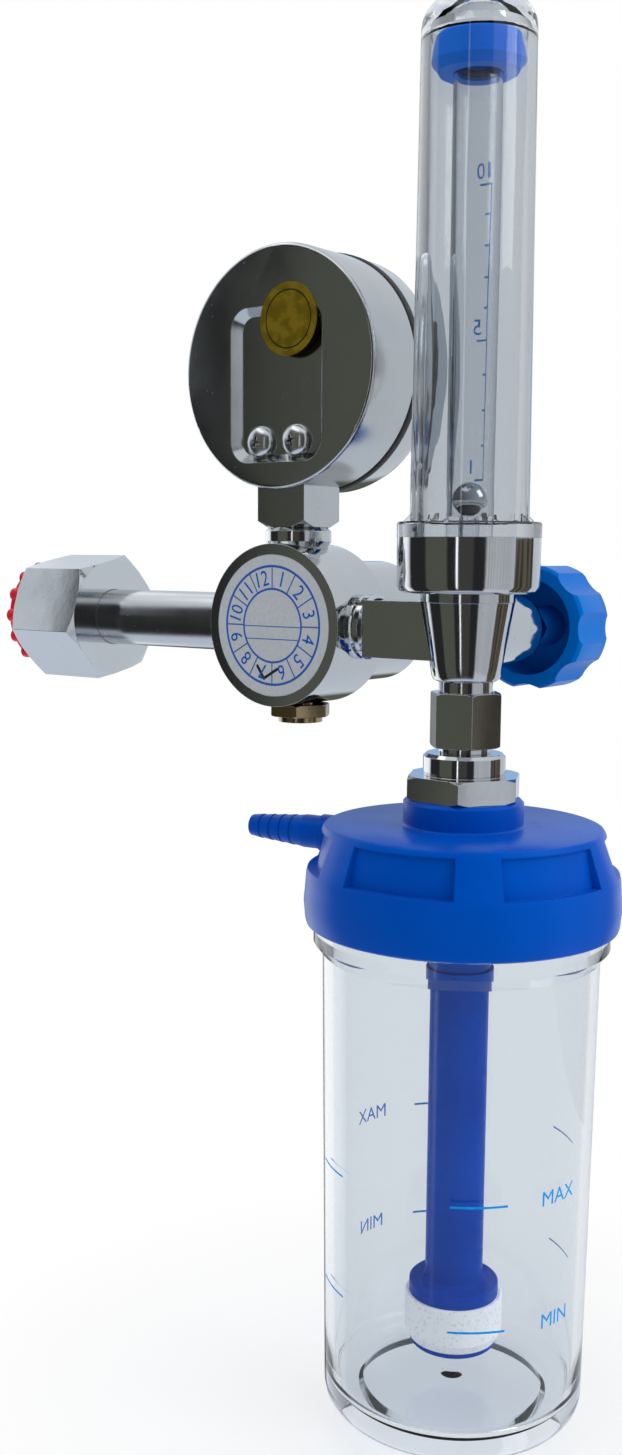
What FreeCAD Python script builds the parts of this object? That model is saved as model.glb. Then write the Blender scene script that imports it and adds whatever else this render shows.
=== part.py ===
import FreeCAD, Part
import math
import os

# Oxygen flowmeter: pressure regulator with a contents gauge, float tube and bubble humidifier.
# Millimetres. +Z is up, +X runs out of the mouth of the inlet nut, and the dial and knob face -Y.
# The origin is on the inlet axis, at the outer end of the nut's thread.

V = FreeCAD.Vector
UP = V(0, 0, 1)
AXES = {"X": V(1, 0, 0), "Y": V(0, 1, 0), "Z": UP}

# Clearances and plain wall values
THREAD_GAP = 0.05          # radial gap of screwed and pushed-in pieces
RUN_GAP = 0.05             # radial gap of turning and sliding fits
SOFT_GAP = 0.3             # air left round soft pieces on moving bodies
FLAT_GAP = 0.1             # axial air between a moving piece and its stop

# Inlet nut and stem
NUT_ACROSS = 32.0
THREAD_RADIUS = 10.29      # minor radius of the G5/8 inlet thread
THREAD_LENGTH = 10.5
MOUTH_RADIUS = 11.7
MOUTH_DEPTH = 7.5
NUT_BACK = 2.6             # wall behind the thread that the stem's collar pulls on
STEM_RADIUS = 7.8
STEM_BORE = 2.5
STEM_COLLAR_RADIUS = 10.0
STEM_COLLAR = 2.0
STEM_NOSE = 2.2
STEM_SPIGOT_STEP = 1.0     # step where the stem enters the regulator body
THREAD_RELIEF = 0.8
NUT_TURN = 44.0
NUT_BEVEL = 1.4
NOSE_WALL = 1.6            # wall round the filter
NOSE_TIP_WALL = 1.0
SEAL_INSET = 0.4
SEAL_THICKNESS = 1.2
FILTER_DEPTH = 3.0
FILTER_RADIUS = 3.4
PLUG_FLANGE_RADIUS = 14.3
PLUG_FLANGE = 3.8
PLUG_LOBES = 14
PLUG_LOBE_RADIUS = 1.9

# Regulator body and its inside
REG_TO_NUT_BACK = 67.0     # regulator axis to the rear face of the nut
REG_RADIUS = 20.8
REG_LENGTH = 21.7
LABEL_RADIUS = 18.0
LABEL_SINK = 0.3
BONNET_RADIUS = 16.4
BONNET_LENGTH = 27.2
BONNET_WALL = 2.6
BONNET_SHANK_RADIUS = 17.4
DIAPHRAGM = 0.8
DIAPHRAGM_SEAT_DEPTH = 5.6
CHAMBER_RADIUS = 13.0
CHAMBER_DEPTH = 4.0
VALVE_STROKE = 0.5
SEAT_RADIUS = 4.5
SEAT_LENGTH = 3.0
SEAT_HOLE = 1.4
POPPET_RADIUS = 3.2
POPPET_LENGTH = 3.5
POPPET_PIN = 0.9
POPPET_CHAMBER = 6.5
PLATE_RADIUS = 10.0
PLATE_THICKNESS = 1.5
SPRING_WIRE = 1.0
SPRING_RADIUS = 6.0
SPRING_TURNS = 5
SMALL_WIRE = 0.3
SMALL_SPRING_RADIUS = 2.0
SMALL_SPRING_TURNS = 3
ADJUSTER_RADIUS = 4.0
ADJUSTER_LENGTH = 9.0
PORT_RADIUS = 5.5
PORT_DEPTH = 3.2
PORT_SPACE = 0.6
PASSAGE = 1.2

# Relief valve under the regulator
RELIEF_Y = -1.2            # the relief valve sits a little in front of the inlet axis
RELIEF_ACROSS = 14.4
RELIEF_HEX = 3.2
RELIEF_SHANK_RADIUS = 3.3
RELIEF_SHANK = 6.0
RELIEF_BORE = 2.5
RELIEF_CAP_RADIUS = 5.8
RELIEF_CAP = 1.5
RELIEF_STROKE = 1.0
RELIEF_VENTS = 4
RELIEF_VENT_RADIUS = 0.8

# Pressure gauge
GAUGE_HEIGHT = 64.4        # gauge axis above the inlet axis
GAUGE_RADIUS = 30.0
GAUGE_BACK = 9.8           # y of the flat back
CASE_LENGTH = 19.3
CASE_WALL = 1.0
POCKET_WIDTH = 30.0
POCKET_TOP = 15.5
POCKET_BOTTOM = 23.7
POCKET_DEPTH = 2.5
POCKET_SLOPE = 2.4
POCKET_CORNER = 6.0
GASKET = 1.2
GASKET_BORE = 26.0
GASKET_SINK = 0.6
BEZEL_LENGTH = 9.5
BEZEL_LIP = 3.0
BEZEL_WALL = 1.6
GLASS = 2.0
BEZEL_FOLD = 1.4
DIAL_RING = 1.2
DIAL_RADIUS = 27.0
DIAL = 0.6
SOCKET_SIDE = 15.0
SOCKET_NECK_RADIUS = 7.2
SOCKET_THREAD_RADIUS = 5.8
SOCKET_BLOCK = 18.0
SOCKET_BLOCK_DEPTH = 9.0
SOCKET_BLOCK_TOP = 11.0    # below the gauge axis
LOCK_RING_RADIUS = 8.5
LOCK_RING = 4.2
SCREW_SPACING = 10.8
SCREW_DROP = 17.6
SCREW_RADIUS = 1.6
SCREW_HEAD_RADIUS = 3.5
SCREW_HEAD = 2.3
SCREW_LENGTH = 7.0
WARNING_LABEL_RADIUS = 8.9
WARNING_LABEL_X = -4.2
WARNING_LABEL_RISE = 11.3
LABEL_FILM = 0.2
TUBE_ARC_RADIUS = 20.0
TUBE_WIDTH = 6.0
TUBE_THICKNESS = 2.4
TUBE_WRAP = 250.0
TUBE_FOOT = 68.0
MOVEMENT_RADIUS = 9.0
MOVEMENT_PLATE = 0.8
MOVEMENT_SPACE = 3.6
ARBOR_RADIUS = 0.9
PINION_RADIUS = 1.8
SECTOR_RADIUS = 9.0
SECTOR_THICKNESS = 0.8
SECTOR_TAIL = 4.8
SECTOR_SWEEP = 54.0
SECTOR_SPARE = 9.0
LINK_LENGTH = 13.0
LINK_THICKNESS = 0.8
LINK_ANGLE = 145.0
POINTER_LENGTH = 20.0
POINTER_TAIL = 7.0
POINTER_WIDTH = 2.2

# Arm between the regulator and the flowmeter
FLOW_OFFSET = 51.4         # regulator axis to flowmeter axis
ARM_SIDE = 14.0
ARM_FROM_REG = 25.5
ARM_RING_RADIUS = 8.2
ARM_BORE = 2.5

# Flowmeter body
FLANGE_TOP = 25.9
COVER_FLANGE = 3.6
FLANGE_RADIUS = 17.2
CUP_RADIUS = 17.1
CUP_BOTTOM = 9.2
CUP_ROUND = 1.6
GROOVE_RADIUS = 11.4
CONE_TOP = 7.0
CONE_TOP_RADIUS = 11.3
CONE_BOTTOM = -11.9
CONE_BOTTOM_RADIUS = 8.3
CONE_ROUND = 1.2
CUP_BORE_RADIUS = 12.65
SEAL_OUTER = 15.4
SEAL_INNER = 13.6
SEAL_HEIGHT = 1.2
CUP_BORE_DEPTH = 9.0

# Needle valve and knob
BOSS_RADIUS = 8.8
BOSS_FRONT = 21.7
GLAND_ACROSS = 13.0
GLAND_HEX = 4.6
GLAND_SHANK_RADIUS = 5.0
GLAND_SHANK = 6.0
PACKING = 1.6
SPINDLE_RADIUS = 2.6
SPINDLE_HEAD_RADIUS = 3.1
SPINDLE_HEAD = 1.5
NEEDLE_RADIUS = 3.2
NEEDLE_CONE = 4.0
NEEDLE_BODY = 3.2
TONGUE_WIDTH = 3.6
TONGUE_THICKNESS = 1.4
TONGUE = 3.4
KNOB_RADIUS = 16.0
KNOB_BACK = 29.0
KNOB_LENGTH = 15.6
KNOB_LOBES = 8
KNOB_SCALLOP = 7.5
KNOB_SCALLOP_DEPTH = 1.5
KNOB_HOLLOW_RADIUS = 12.2
KNOB_WEB = 4.0
KNOB_HUB_RADIUS = 5.0
KNOB_CAP_RADIUS = 10.5
KNOB_CAP = 1.4
KNOB_SCREW_RADIUS = 1.5
KNOB_SCREW_HEAD = 2.6
KNOB_SCREW_REACH = 4.5
KNOB_WELL = 3.0

# Float tube, its cover and stopper
COVER_TOP = 143.0
COVER_TOP_RADIUS = 13.25
COVER_FOOT_RADIUS = 14.2
COVER_ROUND = 7.0
COVER_BORE_TOP = 11.0
COVER_BORE_FOOT = 11.2
COVER_ROOF = 3.6            # thickness of the dome over its hollow
COVER_SPIGOT = 6.0
GUSSETS = 8
GUSSET_SIZE = 2.2
GUSSET_WIDTH = 1.0
METER_RADIUS = 5.6
METER_TOP = 131.2
METER_SINK = 4.0
METER_BORE_FOOT = 4.15
METER_BORE_TOP = 4.9
METER_PORT = 1.6
BALL_RADIUS = 4.0
BALL_REST = 31.1
STOPPER_TOP = 134.6
STOPPER_HEIGHT = 8.2
STOPPER_TOP_RADIUS = 9.8
STOPPER_RIM_RADIUS = 10.7
STOPPER_RIM = 1.9          # height of the widest place above the stopper's foot
STOPPER_FOOT_RADIUS = 9.4
STOPPER_PORT = 1.5
O_RING_WIRE = 0.75
O_RING_DROP = 3.2          # middle of the ring below the tube's top

# Outlet nipple and union nut
NIPPLE_NECK_RADIUS = 6.5
NIPPLE_HEX_TOP = -14.6
NIPPLE_HEX_BOTTOM = -27.8
NIPPLE_ACROSS = 15.7
NIPPLE_TURN = 11.6
NIPPLE_SHANK_RADIUS = 5.0
NIPPLE_BORE = 2.5
NIPPLE_THREAD = 5.5
UNION_TOP = -29.3
UNION_COLLAR_RADIUS = 10.0
UNION_HEX_TOP = -34.6
UNION_HEX_BOTTOM = -40.5
UNION_ACROSS = 26.0
UNION_TURN = 56.2
UNION_ROOF = 2.7
UNION_BORE = 9.4
NIPPLE_FLANGE = 2.0
NIPPLE_NOSE_RADIUS = 3.6
NIPPLE_NOSE = 3.0

# Humidifier lid
LID_TOP = -47.0
LID_TOP_RADIUS = 34.2
LID_NECK_RADIUS = 14.7
LID_LEDGE = -57.8
LID_PANEL_DEPTH = 2.7       # panels between the grip bars, behind the skirt
LID_BULGE = 0.6             # skirt's waist outside its top
LID_WAIST = -66.0
LID_BOTTOM = -71.6
LID_BARS = 6
LID_BAR_ANGLE = 17.0
LID_BAR_TURN = 7.2
LID_WALL = 2.4
LID_CHAMBER_RADIUS = 26.5
LID_SEAT = -55.5
LID_THREAD_BOTTOM = -65.0
LID_SKIRT_GAP = 1.8         # air between the bottle's wall and the skirt
LID_SKIRT_WALL = 2.4
LID_SPIGOT_RADIUS = 7.6
LID_SPIGOT_BOTTOM = -86.0
LID_SPIGOT_BEAD = 8.4
LID_SPIGOT_BEAD_HEIGHT = 3.5
BARB_AXIS = -53.1
BARB_LENGTH = 23.0
BARB_LAND = 6.8
BARB_COLLAR = 1.7           # length of the thicker root that stops the hose
BARB_COLLAR_RADIUS = 4.8
BARB_TIP_RADIUS = 3.0
BARB_ROOT_RADIUS = 4.3
BARB_STEP = 0.45
BARB_RINGS = 5
BARB_BORE = 1.9
WEB_WIDTH = 2.0
WEB_REACH = 1.0

# Humidifier bottle and diffuser
GASKET_HEIGHT = 1.8
GASKET_WIDTH = 4.0
BOTTLE_NECK_RADIUS = 30.4
NECK_GAP = 0.6
NECK_BOTTOM = -66.2
NECK_FLARE = -69.2
BOTTLE_WALL = 2.4
BEAD_TOP = -72.0
BEAD_BOTTOM = -76.0
BEAD_PROUD = 2.3
BOTTLE_SHOULDER = -79.0
BOTTLE_TOP_RADIUS = 34.1
BOTTLE_FOOT_RADIUS = 32.8
BOTTLE_BOTTOM = -196.7
BOTTLE_CORNER = 5.0
FLOOR_RISE = 3.6
FLOOR = 2.6
FOOT_RING = 4.0
FLOOR_BUMP = 3.0
DIP_RADIUS = 7.3
DIP_BORE = 4.6
DIP_INSERT = 6.0
DISC_TOP = -164.2
DISC_RADIUS = 11.3
DISC = 3.4
FOAM_RADIUS = 12.4
FOAM = 11.7
FOAM_CHAMFER = 1.2
LOWER_PLATE_RADIUS = 10.9
LOWER_PLATE = 1.5
DIFFUSER_STEM_RADIUS = 3.6

# Places worked out from the sizes above
NUT_MOUTH = MOUTH_DEPTH
STEM_FRONT = -THREAD_LENGTH - FLAT_GAP
STEM_FACE = STEM_FRONT - STEM_NOSE
COLLAR_BACK = STEM_FACE - STEM_COLLAR
NUT_SHOULDER = COLLAR_BACK - FLAT_GAP
NUT_REAR = NUT_SHOULDER - NUT_BACK
REG_X = NUT_REAR - REG_TO_NUT_BACK
REG_REAR = REG_LENGTH / 2.0
REG_FRONT = -REG_LENGTH / 2.0
FLOW_X = REG_X - FLOW_OFFSET
BONNET_FRONT = REG_FRONT - BONNET_LENGTH
FLANGE_BOTTOM = FLANGE_TOP - COVER_FLANGE
BEAD_RADIUS = BOTTLE_TOP_RADIUS + BEAD_PROUD
LID_SKIRT_BORE = BOTTLE_TOP_RADIUS + LID_SKIRT_GAP
LID_SKIRT_RADIUS = LID_SKIRT_BORE + LID_SKIRT_WALL
LID_WAIST_RADIUS = LID_SKIRT_RADIUS + LID_BULGE
LID_PANEL_RADIUS = LID_SKIRT_RADIUS - LID_PANEL_DEPTH
BARB_ROOT = LID_SKIRT_RADIUS - 0.7
ON_INLET = (0, 0)
ON_REG = (REG_X, 0)
ON_RELIEF = (REG_X, RELIEF_Y)
ON_FLOW = (FLOW_X, 0)


def placed(shape, axis, centre):
    """Turn a shape built along Z onto the named axis, at the two other coordinates."""
    first, second = centre
    spots = {"X": V(0, first, second), "Y": V(first, 0, second), "Z": V(first, second, 0)}
    turned_shape = shape.copy()
    spot = FreeCAD.Placement(spots[axis], FreeCAD.Rotation(UP, AXES[axis]))
    turned_shape.Placement = spot.multiply(shape.Placement)
    return turned_shape


def turned(axis, centre, points):
    """A turned solid from a closed outline of (place along the axis, radius) points."""
    corners = [V(radius, 0, along) for along, radius in points]
    outline = Part.makePolygon(corners + corners[:1])
    solid = Part.Face(outline).revolve(V(0, 0, 0), UP, 360)
    if solid.Volume < 0:
        solid.reverse()
    return placed(solid, axis, centre)


def rod(axis, centre, radius, start, end):
    """A plain round bar between two places on its axis."""
    low = min(start, end)
    solid = Part.makeCylinder(radius, abs(end - start), V(0, 0, low))
    return placed(solid, axis, centre)


def tube(axis, centre, outer, inner, start, end):
    """A plain tube."""
    return rod(axis, centre, outer, start, end).cut(rod(axis, centre, inner, start, end))


def box(x, y, z):
    """A box from three (low, high) pairs."""
    return Part.makeBox(x[1] - x[0], y[1] - y[0], z[1] - z[0], V(x[0], y[0], z[0]))


def joined(shapes):
    """One solid from overlapping or touching ones."""
    first = shapes[0]
    return first.fuse(shapes[1:]).removeSplitter() if len(shapes) > 1 else first


def prism(points, start, end):
    """A prism along Z from a closed outline in the XY plane."""
    corners = [V(x, y, start) for x, y in points]
    return Part.Face(Part.makePolygon(corners + corners[:1])).extrude(V(0, 0, end - start))


def hexagon(axis, centre, across, start, end, turn=0.0, bevel=0.0):
    """A hexagon bar whose corners are bevelled by a cone at both ends."""
    low, high = min(start, end), max(start, end)
    reach = across / math.sqrt(3)
    angles = [math.radians(turn + 60 * k) for k in range(6)]
    bar = placed(prism([(reach * math.cos(a), reach * math.sin(a)) for a in angles], low, high), axis, centre)
    if bevel <= 0:
        return bar
    small = reach - bevel
    rise = bevel * 0.6
    barrel = [(low, 0), (low, small), (low + rise, reach), (high - rise, reach), (high, small), (high, 0)]
    return bar.common(turned(axis, centre, barrel))


def spun(shape, centre, axis, count):
    """Copies of a shape spaced evenly round an axis."""
    copies = []
    for k in range(count):
        copy = shape.copy()
        copy.rotate(centre, axis, 360.0 * k / count)
        copies.append(copy)
    return copies


def coil(axis, centre, radius, wire, turns, start, end):
    """A helical spring between two places on its axis."""
    length = abs(end - start) - 2 * wire
    pitch = length / turns
    path = Part.makeHelix(pitch, length, radius)
    section = Part.Wire(Part.makeCircle(wire, V(radius, 0, 0), V(0, 1, pitch / (2 * math.pi * radius))))
    solid = Part.Wire(path.Edges).makePipeShell([section], True, True)
    solid.translate(V(0, 0, min(start, end) + wire))
    return placed(solid, axis, centre)


# Inlet nut, stem, seal, filter and plug

def inlet_nut():
    """Hexagon nut: thread, plain mouth for the plug, and a back wall that turns on the stem."""
    shape = hexagon("X", ON_INLET, NUT_ACROSS, NUT_REAR, NUT_MOUTH, turn=NUT_TURN, bevel=NUT_BEVEL)
    relief = THREAD_RADIUS + THREAD_RELIEF
    on_stem = STEM_RADIUS + 2 * RUN_GAP
    bore = turned("X", ON_INLET, [
        (NUT_REAR - 1, 0), (NUT_REAR - 1, on_stem), (NUT_SHOULDER, on_stem), (NUT_SHOULDER, relief),
        (-THREAD_LENGTH, relief), (-THREAD_LENGTH, THREAD_RADIUS),
        (0, THREAD_RADIUS), (0, MOUTH_RADIUS), (NUT_MOUTH + 1, MOUTH_RADIUS), (NUT_MOUTH + 1, 0)])
    return shape.cut(bore)


def inlet_stem():
    """Turned stem with the collar that the nut pulls on, a nose and a through bore."""
    wall = REG_X + REG_RADIUS
    root = wall - PORT_DEPTH
    spigot = STEM_RADIUS - STEM_SPIGOT_STEP
    nose = FILTER_RADIUS + NOSE_WALL
    tip = FILTER_RADIUS + NOSE_TIP_WALL
    shape = turned("X", ON_INLET, [
        (root, STEM_BORE), (root, spigot), (wall, spigot), (wall, STEM_RADIUS),
        (COLLAR_BACK, STEM_RADIUS), (COLLAR_BACK, STEM_COLLAR_RADIUS),
        (STEM_FACE, STEM_COLLAR_RADIUS), (STEM_FACE, nose), (STEM_FRONT, tip), (STEM_FRONT, STEM_BORE)])
    return shape.cut(rod("X", ON_INLET, FILTER_RADIUS, STEM_FRONT - FILTER_DEPTH, STEM_FRONT + 1))


def inlet_filter():
    """Sintered filter disc pressed into the stem's nose."""
    return rod("X", ON_INLET, FILTER_RADIUS - THREAD_GAP, STEM_FRONT - FILTER_DEPTH, STEM_FRONT)


def inlet_seal():
    """Flat ring seal on the collar's face."""
    hole = FILTER_RADIUS + NOSE_WALL + SOFT_GAP
    edge = STEM_COLLAR_RADIUS - SEAL_INSET
    return tube("X", ON_INLET, edge, hole, STEM_FACE, STEM_FACE + SEAL_THICKNESS)


def thread_plug():
    """Push-in dust plug: scalloped flange and a short hollow shank in the nut's mouth."""
    low = NUT_MOUTH
    high = low + PLUG_FLANGE
    flange = rod("X", ON_INLET, PLUG_FLANGE_RADIUS, low, high)
    lobe = rod("X", (PLUG_FLANGE_RADIUS - 0.6, 0), PLUG_LOBE_RADIUS, low, high)
    lobes = spun(lobe, V(0, 0, 0), AXES["X"], PLUG_LOBES)
    shank = tube("X", ON_INLET, MOUTH_RADIUS - RUN_GAP, MOUTH_RADIUS - 1.6, FLAT_GAP, low)
    return joined([flange] + lobes + [shank])


# Regulator

def regulator_places():
    """Places along the regulator's Y axis, from the diaphragm seat to the rear."""
    seat = REG_FRONT + DIAPHRAGM_SEAT_DEPTH
    floor = seat + CHAMBER_DEPTH
    insert = floor + SEAT_LENGTH
    return {"seat": seat, "floor": floor, "insert": insert, "end": insert + POPPET_CHAMBER}


def regulator_body():
    """Turned brass body with the diaphragm chamber, valve bore and four ports."""
    at = regulator_places()
    body = rod("Y", ON_REG, REG_RADIUS, REG_FRONT, REG_REAR)
    shank = BONNET_SHANK_RADIUS + THREAD_GAP
    cavity = turned("Y", ON_REG, [
        (REG_FRONT - 1, 0), (REG_FRONT - 1, shank), (at["seat"], shank), (at["seat"], CHAMBER_RADIUS),
        (at["floor"], CHAMBER_RADIUS), (at["floor"], SEAT_RADIUS + THREAD_GAP),
        (at["insert"], SEAT_RADIUS + THREAD_GAP), (at["insert"], POPPET_RADIUS + 0.5),
        (at["end"], POPPET_RADIUS + 0.5), (at["end"], 0)])
    sunk = rod("Y", ON_REG, LABEL_RADIUS + THREAD_GAP, REG_REAR - LABEL_SINK, REG_REAR + 1)
    east = REG_X + REG_RADIUS
    west = REG_X - REG_RADIUS
    deep = PORT_DEPTH + PORT_SPACE
    high_side = at["insert"] + 1.5
    low_side = at["floor"] - 2.0
    relief_depth = RELIEF_SHANK + PORT_SPACE
    ports = [
        rod("X", ON_INLET, STEM_RADIUS - 1.0 + THREAD_GAP, east - deep, east + 1),
        rod("X", (high_side, 0), PASSAGE, REG_X, east - PORT_DEPTH),
        rod("X", ON_INLET, PORT_RADIUS + THREAD_GAP, west - 1, west + deep),
        rod("X", (low_side, 0), PASSAGE, west + PORT_DEPTH, REG_X - CHAMBER_RADIUS + 1),
        rod("Z", ON_REG, SOCKET_THREAD_RADIUS + THREAD_GAP, REG_RADIUS - deep, REG_RADIUS + 1),
        rod("Z", (REG_X, high_side), PASSAGE, 0, REG_RADIUS - PORT_DEPTH),
        rod("Z", ON_RELIEF, RELIEF_SHANK_RADIUS + THREAD_GAP, -REG_RADIUS - 1, relief_depth - REG_RADIUS),
        rod("Z", (REG_X, low_side), PASSAGE, RELIEF_SHANK - REG_RADIUS, 1 - CHAMBER_RADIUS),
    ]
    return body.cut([cavity, sunk] + ports)


def date_label():
    """Round printed label in the shallow recess of the regulator's rear face."""
    return rod("Y", ON_REG, LABEL_RADIUS, REG_REAR - LABEL_SINK, REG_REAR)


def front_bonnet():
    """Screwed cover over the main spring; its shank holds the diaphragm's rim in place."""
    at = regulator_places()
    room = at["seat"] - DIAPHRAGM - VALVE_STROKE - FLAT_GAP
    inner = BONNET_RADIUS - BONNET_WALL
    shape = turned("Y", ON_REG, [
        (BONNET_FRONT, ADJUSTER_RADIUS + THREAD_GAP), (BONNET_FRONT, BONNET_RADIUS - 2.0),
        (BONNET_FRONT + 2.0, BONNET_RADIUS), (REG_FRONT, BONNET_RADIUS), (REG_FRONT, BONNET_SHANK_RADIUS),
        (room, BONNET_SHANK_RADIUS), (room, inner), (BONNET_FRONT + 5.0, inner),
        (BONNET_FRONT + 5.0, ADJUSTER_RADIUS + THREAD_GAP)])
    return shape


def adjusting_screw():
    """Factory-set screw that loads the main spring through its button."""
    front = BONNET_FRONT + 0.5
    shape = rod("Y", ON_REG, ADJUSTER_RADIUS, front, front + ADJUSTER_LENGTH)
    slot = box((REG_X - 0.6, REG_X + 0.6), (front - 1, front + 1.2), (-ADJUSTER_RADIUS, ADJUSTER_RADIUS))
    return shape.cut(slot)


def spring_button():
    """Dished washer between the screw and the main spring."""
    end = BONNET_FRONT + 0.5 + ADJUSTER_LENGTH
    return rod("Y", ON_REG, SPRING_RADIUS + 2.0, end, end + 1.5)


def diaphragm_group_places():
    """Places of the diaphragm and its plate at rest, valve closed."""
    rear = regulator_places()["seat"] - VALVE_STROKE - FLAT_GAP / 2
    return {"rear": rear, "front": rear - DIAPHRAGM, "plate": rear - DIAPHRAGM - PLATE_THICKNESS}


def main_spring():
    """Main spring between the button and the diaphragm plate."""
    start = BONNET_FRONT + 0.5 + ADJUSTER_LENGTH + 1.5
    end = diaphragm_group_places()["plate"]
    return coil("Y", ON_REG, SPRING_RADIUS, SPRING_WIRE, SPRING_TURNS, start, end)


def diaphragm():
    """Flat rubber disc."""
    at = diaphragm_group_places()
    return rod("Y", ON_REG, BONNET_SHANK_RADIUS - SOFT_GAP, at["front"], at["rear"])


def diaphragm_plate():
    """Metal plate that spreads the main spring's load on the diaphragm."""
    at = diaphragm_group_places()
    return rod("Y", ON_REG, PLATE_RADIUS, at["plate"], at["front"])


def valve_seat():
    """Screwed insert with the regulator's throttling hole."""
    at = regulator_places()
    return tube("Y", ON_REG, SEAT_RADIUS, SEAT_HOLE, at["floor"], at["insert"])


def valve_poppet():
    """Poppet behind the seat with a pin that reaches the diaphragm."""
    at = regulator_places()
    head = rod("Y", ON_REG, POPPET_RADIUS, at["insert"], at["insert"] + POPPET_LENGTH)
    pin = rod("Y", ON_REG, POPPET_PIN, diaphragm_group_places()["rear"], at["insert"])
    return joined([head, pin])


def poppet_spring():
    """Light spring that closes the poppet."""
    at = regulator_places()
    start = at["insert"] + POPPET_LENGTH + VALVE_STROKE + FLAT_GAP
    return coil("Y", ON_REG, SMALL_SPRING_RADIUS, SMALL_WIRE, SMALL_SPRING_TURNS, start, at["end"])


# Relief valve

def relief_places():
    """Places down the relief valve's Z axis."""
    hex_top = -REG_RADIUS
    hex_bottom = hex_top - RELIEF_HEX
    shank = hex_top + RELIEF_SHANK
    return {"top": hex_top, "bottom": hex_bottom, "cap": hex_bottom - RELIEF_CAP, "shank": shank}


def relief_body():
    """Hexagon fitting screwed into the regulator, bored for the poppet."""
    at = relief_places()
    hexa = hexagon("Z", ON_RELIEF, RELIEF_ACROSS, at["bottom"], at["top"], turn=0, bevel=0.6)
    shank = rod("Z", ON_RELIEF, RELIEF_SHANK_RADIUS, at["top"], at["shank"])
    bore = rod("Z", ON_RELIEF, RELIEF_BORE, at["bottom"] - 1, at["shank"] - 1.5)
    hole = rod("Z", ON_RELIEF, 1.2, at["shank"] - 2, at["shank"] + 1)
    return joined([hexa, shank]).cut([bore, hole])


def relief_poppet():
    """Small poppet that lifts off its seat when the pressure is too high."""
    top = relief_places()["shank"] - 1.5
    return rod("Z", ON_RELIEF, RELIEF_BORE - 2 * RUN_GAP, top - 2.4, top)


def relief_spring():
    """Spring under the relief poppet."""
    at = relief_places()
    top = at["shank"] - 1.5 - 2.4 - RELIEF_STROKE
    return coil("Z", ON_RELIEF, SMALL_SPRING_RADIUS, SMALL_WIRE, SMALL_SPRING_TURNS, at["bottom"], top)


def relief_cap():
    """Vented cap that closes the relief valve's bore."""
    at = relief_places()
    cap = rod("Z", ON_RELIEF, RELIEF_CAP_RADIUS, at["cap"], at["bottom"])
    vent = rod("Z", (REG_X + 2.0, RELIEF_Y), RELIEF_VENT_RADIUS, at["cap"] - 1, at["bottom"] + 1)
    return cap.cut(spun(vent, V(REG_X, RELIEF_Y, 0), UP, RELIEF_VENTS))


# Gauge

ON_GAUGE = (REG_X, GAUGE_HEIGHT)
CASE_FRONT = GAUGE_BACK - CASE_LENGTH
BEZEL_REAR = CASE_FRONT - GASKET
BEZEL_FRONT = BEZEL_REAR - BEZEL_LENGTH
CASE_BOTTOM = GAUGE_HEIGHT - GAUGE_RADIUS


def pocket(grow, depth):
    """The sloped pocket pressed into the back of the case, as a solid that is cut or added."""
    def outline(inset, y):
        half = POCKET_WIDTH / 2 + grow - inset
        top = POCKET_TOP + grow - inset
        bottom = POCKET_BOTTOM + grow - inset
        round_off = POCKET_CORNER + grow - inset
        plate = Part.makeBox(2 * half, 0.01, top + bottom, V(REG_X - half, y, GAUGE_HEIGHT - bottom))
        upright = [e for e in plate.Edges if abs(e.Length - 0.01) < 1e-6]
        rounded = plate.makeFillet(round_off, upright)
        faces = sorted(rounded.Faces, key=lambda f: f.Area)
        return [f.OuterWire for f in faces[-2:] if abs(f.CenterOfMass.y - y) < 1e-4][0]
    wide = outline(0.0, GAUGE_BACK + 0.5)
    narrow = outline(POCKET_SLOPE, GAUGE_BACK - depth)
    return Part.makeLoft([wide, narrow], True, True)


def gauge_case():
    """Pressed steel case: flat back with a sloped pocket, rolled rim and a hole for the socket."""
    shell = rod("Y", ON_GAUGE, GAUGE_RADIUS, CASE_FRONT, GAUGE_BACK)
    rim = [e for e in shell.Edges if abs(e.CenterOfMass.y - GAUGE_BACK) < 1e-6 and e.Length > GAUGE_RADIUS]
    shell = shell.makeFillet(1.2, rim)
    hollow = rod("Y", ON_GAUGE, GAUGE_RADIUS - CASE_WALL, CASE_FRONT - 1, GAUGE_BACK - CASE_WALL)
    hollow = hollow.cut(pocket(CASE_WALL, POCKET_DEPTH + CASE_WALL))
    side = SOCKET_SIDE / 2 + THREAD_GAP
    gate = box((REG_X - side, REG_X + side), (-side, side), (CASE_BOTTOM - 1, CASE_BOTTOM + 4.0))
    drop = GAUGE_HEIGHT - SCREW_DROP
    holes = [rod("Y", (x, drop), SCREW_RADIUS + THREAD_GAP, 0, GAUGE_BACK) for x in screw_spots()]
    return shell.cut([hollow, pocket(0.0, POCKET_DEPTH), gate] + holes)


def screw_spots():
    """X of the two screws in the case's back."""
    return [REG_X - SCREW_SPACING / 2, REG_X + SCREW_SPACING / 2]


def block_places():
    """Y of the back and front faces of the block inside the case."""
    back = GAUGE_BACK - POCKET_DEPTH - CASE_WALL
    return {"back": back, "front": back - SOCKET_BLOCK_DEPTH}


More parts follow.
